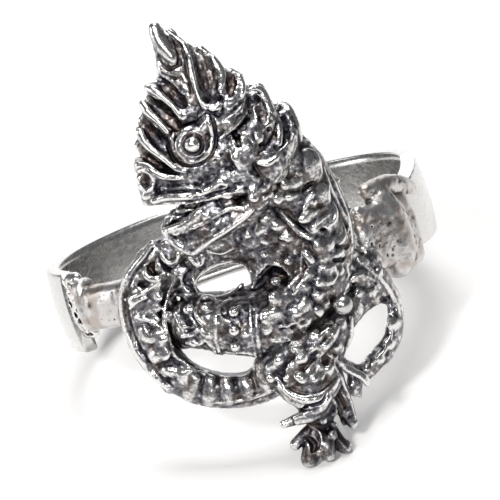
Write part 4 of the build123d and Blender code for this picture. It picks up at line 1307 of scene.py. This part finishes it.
def cast_silver():
    """Blackened cast silver, rubbed bright where it stands out, with painted shade towards the floor."""
    nodes = Nodes("oxidised cast silver")
    fine, broad = nodes.attribute("fine_relief"), nodes.attribute("broad_relief")
    height = nodes.total((fine, 1.5), (broad, 0.9), (nodes.uneven(0.14, 3.0, 0.6), 1.0),
                         (nodes.uneven(0.9, 2.0, 0.5), 0.6))
    level = nodes.add("ShaderNodeSeparateXYZ")
    nodes.link(nodes.place, level.inputs[0])
    # painted shade: lower parts near the floor are painted darker, standing in for a dark reflection from
    # below
    painted_foot_shade = nodes.range(level.outputs["Z"], *FOOT_LEVELS, FOOT_PAINTED_SHADE, 0.0)
    height = nodes.maths("SUBTRACT", height, painted_foot_shade)
    worn = nodes.range(height, -0.40, 0.14)
    rubbed = nodes.range(height, 0.02, 0.46)
    brown = nodes.range(nodes.noise(1.2, 2.0), 0.46, 0.62)
    stain = nodes.mix(brown, rgb(0.020, 0.018, 0.024), rgb(0.054, 0.041, 0.037))
    grey = nodes.mix(worn, stain, nodes.mix(brown, rgb(0.160, 0.157, 0.170), rgb(0.182, 0.165, 0.160)))
    colour = nodes.mix(rubbed, grey, rgb(0.71, 0.70, 0.685))
    rough = nodes.range(rubbed, 0.0, 1.0, 0.34, 0.19)
    grain = nodes.bump(nodes.noise(0.15, 3.0, 0.55), 0.45, 0.05)
    return nodes.finish(Base_Color=colour, Metallic=1.0, Roughness=rough, Normal=grain)


def solder_silver():
    """Pitted solder: matt pale silver with brownish patches and dark pores."""
    nodes = Nodes("pitted solder")
    fine, broad = nodes.attribute("fine_relief"), nodes.attribute("broad_relief")
    height = nodes.total((fine, 0.9), (broad, 0.5), (nodes.uneven(0.26, 3.0, 0.6), 1.4),
                         (nodes.uneven(0.8, 3.0, 0.6), 1.5))
    clean = nodes.range(height, -0.42, 0.02)
    brown = nodes.range(nodes.noise(1.1, 2.0), 0.44, 0.60)
    tint = nodes.mix(brown, rgb(0.56, 0.545, 0.535), rgb(0.42, 0.375, 0.345))
    colour = nodes.mix(clean, rgb(0.075, 0.062, 0.055), tint)
    rough = nodes.range(clean, 0, 1, 0.5, 0.36)
    grain = nodes.bump(nodes.noise(0.12, 3.0, 0.6), 0.45, 0.04)
    return nodes.finish(Base_Color=colour, Metallic=1.0, Roughness=rough, Normal=grain)


def polished_silver(name, shade):
    """Polished silver of some brightness, with faint wear along the band."""
    nodes = Nodes(name)
    wear = nodes.noise(0.5, 3.0, 0.6, (1, 1, 3))
    rough = nodes.range(wear, 0.3, 0.7, 0.20, 0.32)
    grain = nodes.bump(nodes.noise(0.9, 2.0, 0.5), 0.12, 0.02)
    tint = rgb(shade, 0.985 * shade, 0.965 * shade)
    return nodes.finish(Base_Color=tint, Metallic=1.0, Roughness=rough, Normal=grain)


def build_ring():
    """All the pieces of the ring, dressed."""
    dragon, solder = cast_silver(), solder_silver()
    # painted reflection: the ball's silver is painted darker than the band's, standing in for the dark
    # surroundings it reflects
    polished, pearl = polished_silver("band silver", 0.60), polished_silver("ball silver painted dark", 0.50)
    for name, model in (("head", head_clay), ("trunk", trunk_clay), ("tail", tail_clay), ("leg", leg_clay)):
        dress(clay_mesh(name, model(), from_face), dragon)
    left = collar_clay((LEFT_COLLAR, LEFT_NECK), LEFT_BEADS, LEFT_LUMPS, LEFT_PITS, "left solder")
    right = collar_clay((RIGHT_COLLAR, RIGHT_NECK), RIGHT_BEADS, RIGHT_LUMPS, RIGHT_PITS, "right solder")
    recess = collar_clay((LEFT_RECESS,), (), RECESS_LUMPS, RECESS_PITS, "recess")
    dress(clay_mesh("left_collar", left, from_shoulder), solder)
    dress(clay_mesh("left_recess", recess, from_shoulder), dragon)
    dress(clay_mesh("right_collar", right, from_shoulder), solder)
    dress(band_mesh(), polished)
    dress(ball_mesh("pearl", np.array(PEARL_PLACE) * FIGURE, PEARL / 2), pearl)


def set_camera():
    """The photograph's view: level with the dragon, a little above the band's plane, rolled to the right."""
    rise = LEAN + math.radians(EYE_HEIGHT)
    forward = np.array((0, math.cos(rise), -math.sin(rise)))
    level_up = np.array((0, math.sin(rise), math.cos(rise)))
    right = np.array((1.0, 0, 0))
    aim = RING_CENTRE + AIM_RIGHT * right + AIM_UP * level_up
    roll = math.radians(ROLL)
    across = math.cos(roll) * right - math.sin(roll) * level_up
    up = math.sin(roll) * right + math.cos(roll) * level_up
    lens = bpy.data.cameras.new("camera")
    camera = bpy.data.objects.new("camera", lens)
    bpy.context.scene.collection.objects.link(camera)
    matrix = np.eye(4)
    matrix[:3, 0], matrix[:3, 1], matrix[:3, 2] = across, up, -forward
    matrix[:3, 3] = (aim - CAMERA_AWAY * forward) * MM
    camera.matrix_world = Matrix(matrix.tolist())
    lens.sensor_width = SENSOR
    lens.lens = SENSOR * CAMERA_AWAY / FIELD
    lens.clip_start, lens.clip_end = CLIP
    bpy.context.scene.camera = camera


def add_light(name, place, size, power):
    """A soft square light that looks at the ring."""
    lamp = bpy.data.lights.new(name, "AREA")
    lamp.shape = "SQUARE"
    lamp.size = size
    lamp.energy = power
    light = bpy.data.objects.new(name, lamp)
    light.location = place
    light.rotation_euler = (Vector(LIT_PLACE) - Vector(place)).to_track_quat("-Z", "Y").to_euler()
    bpy.context.scene.collection.objects.link(light)


def set_stage():
    """A plain pale floor, a pale room and soft studio lights."""
    bpy.ops.mesh.primitive_plane_add(size=FLOOR_SIZE, location=(0, 0, 0))
    floor = bpy.context.object
    floor.name = "floor"
    nodes = Nodes("floor")
    floor.data.materials.append(nodes.finish(Base_Color=rgb(0.80, 0.79, 0.78), Roughness=0.6))
    world = bpy.data.worlds.new("room")
    bpy.context.scene.world = world
    world.use_nodes = True
    sky = world.node_tree.nodes["Background"]
    sky.inputs["Color"].default_value = rgb(0.93, 0.95, 1.0)
    sky.inputs["Strength"].default_value = 0.16
    for light in LIGHTS:
        add_light(*light)
    bpy.context.scene.view_settings.view_transform = "Standard"


build_ring()
set_stage()
set_camera()
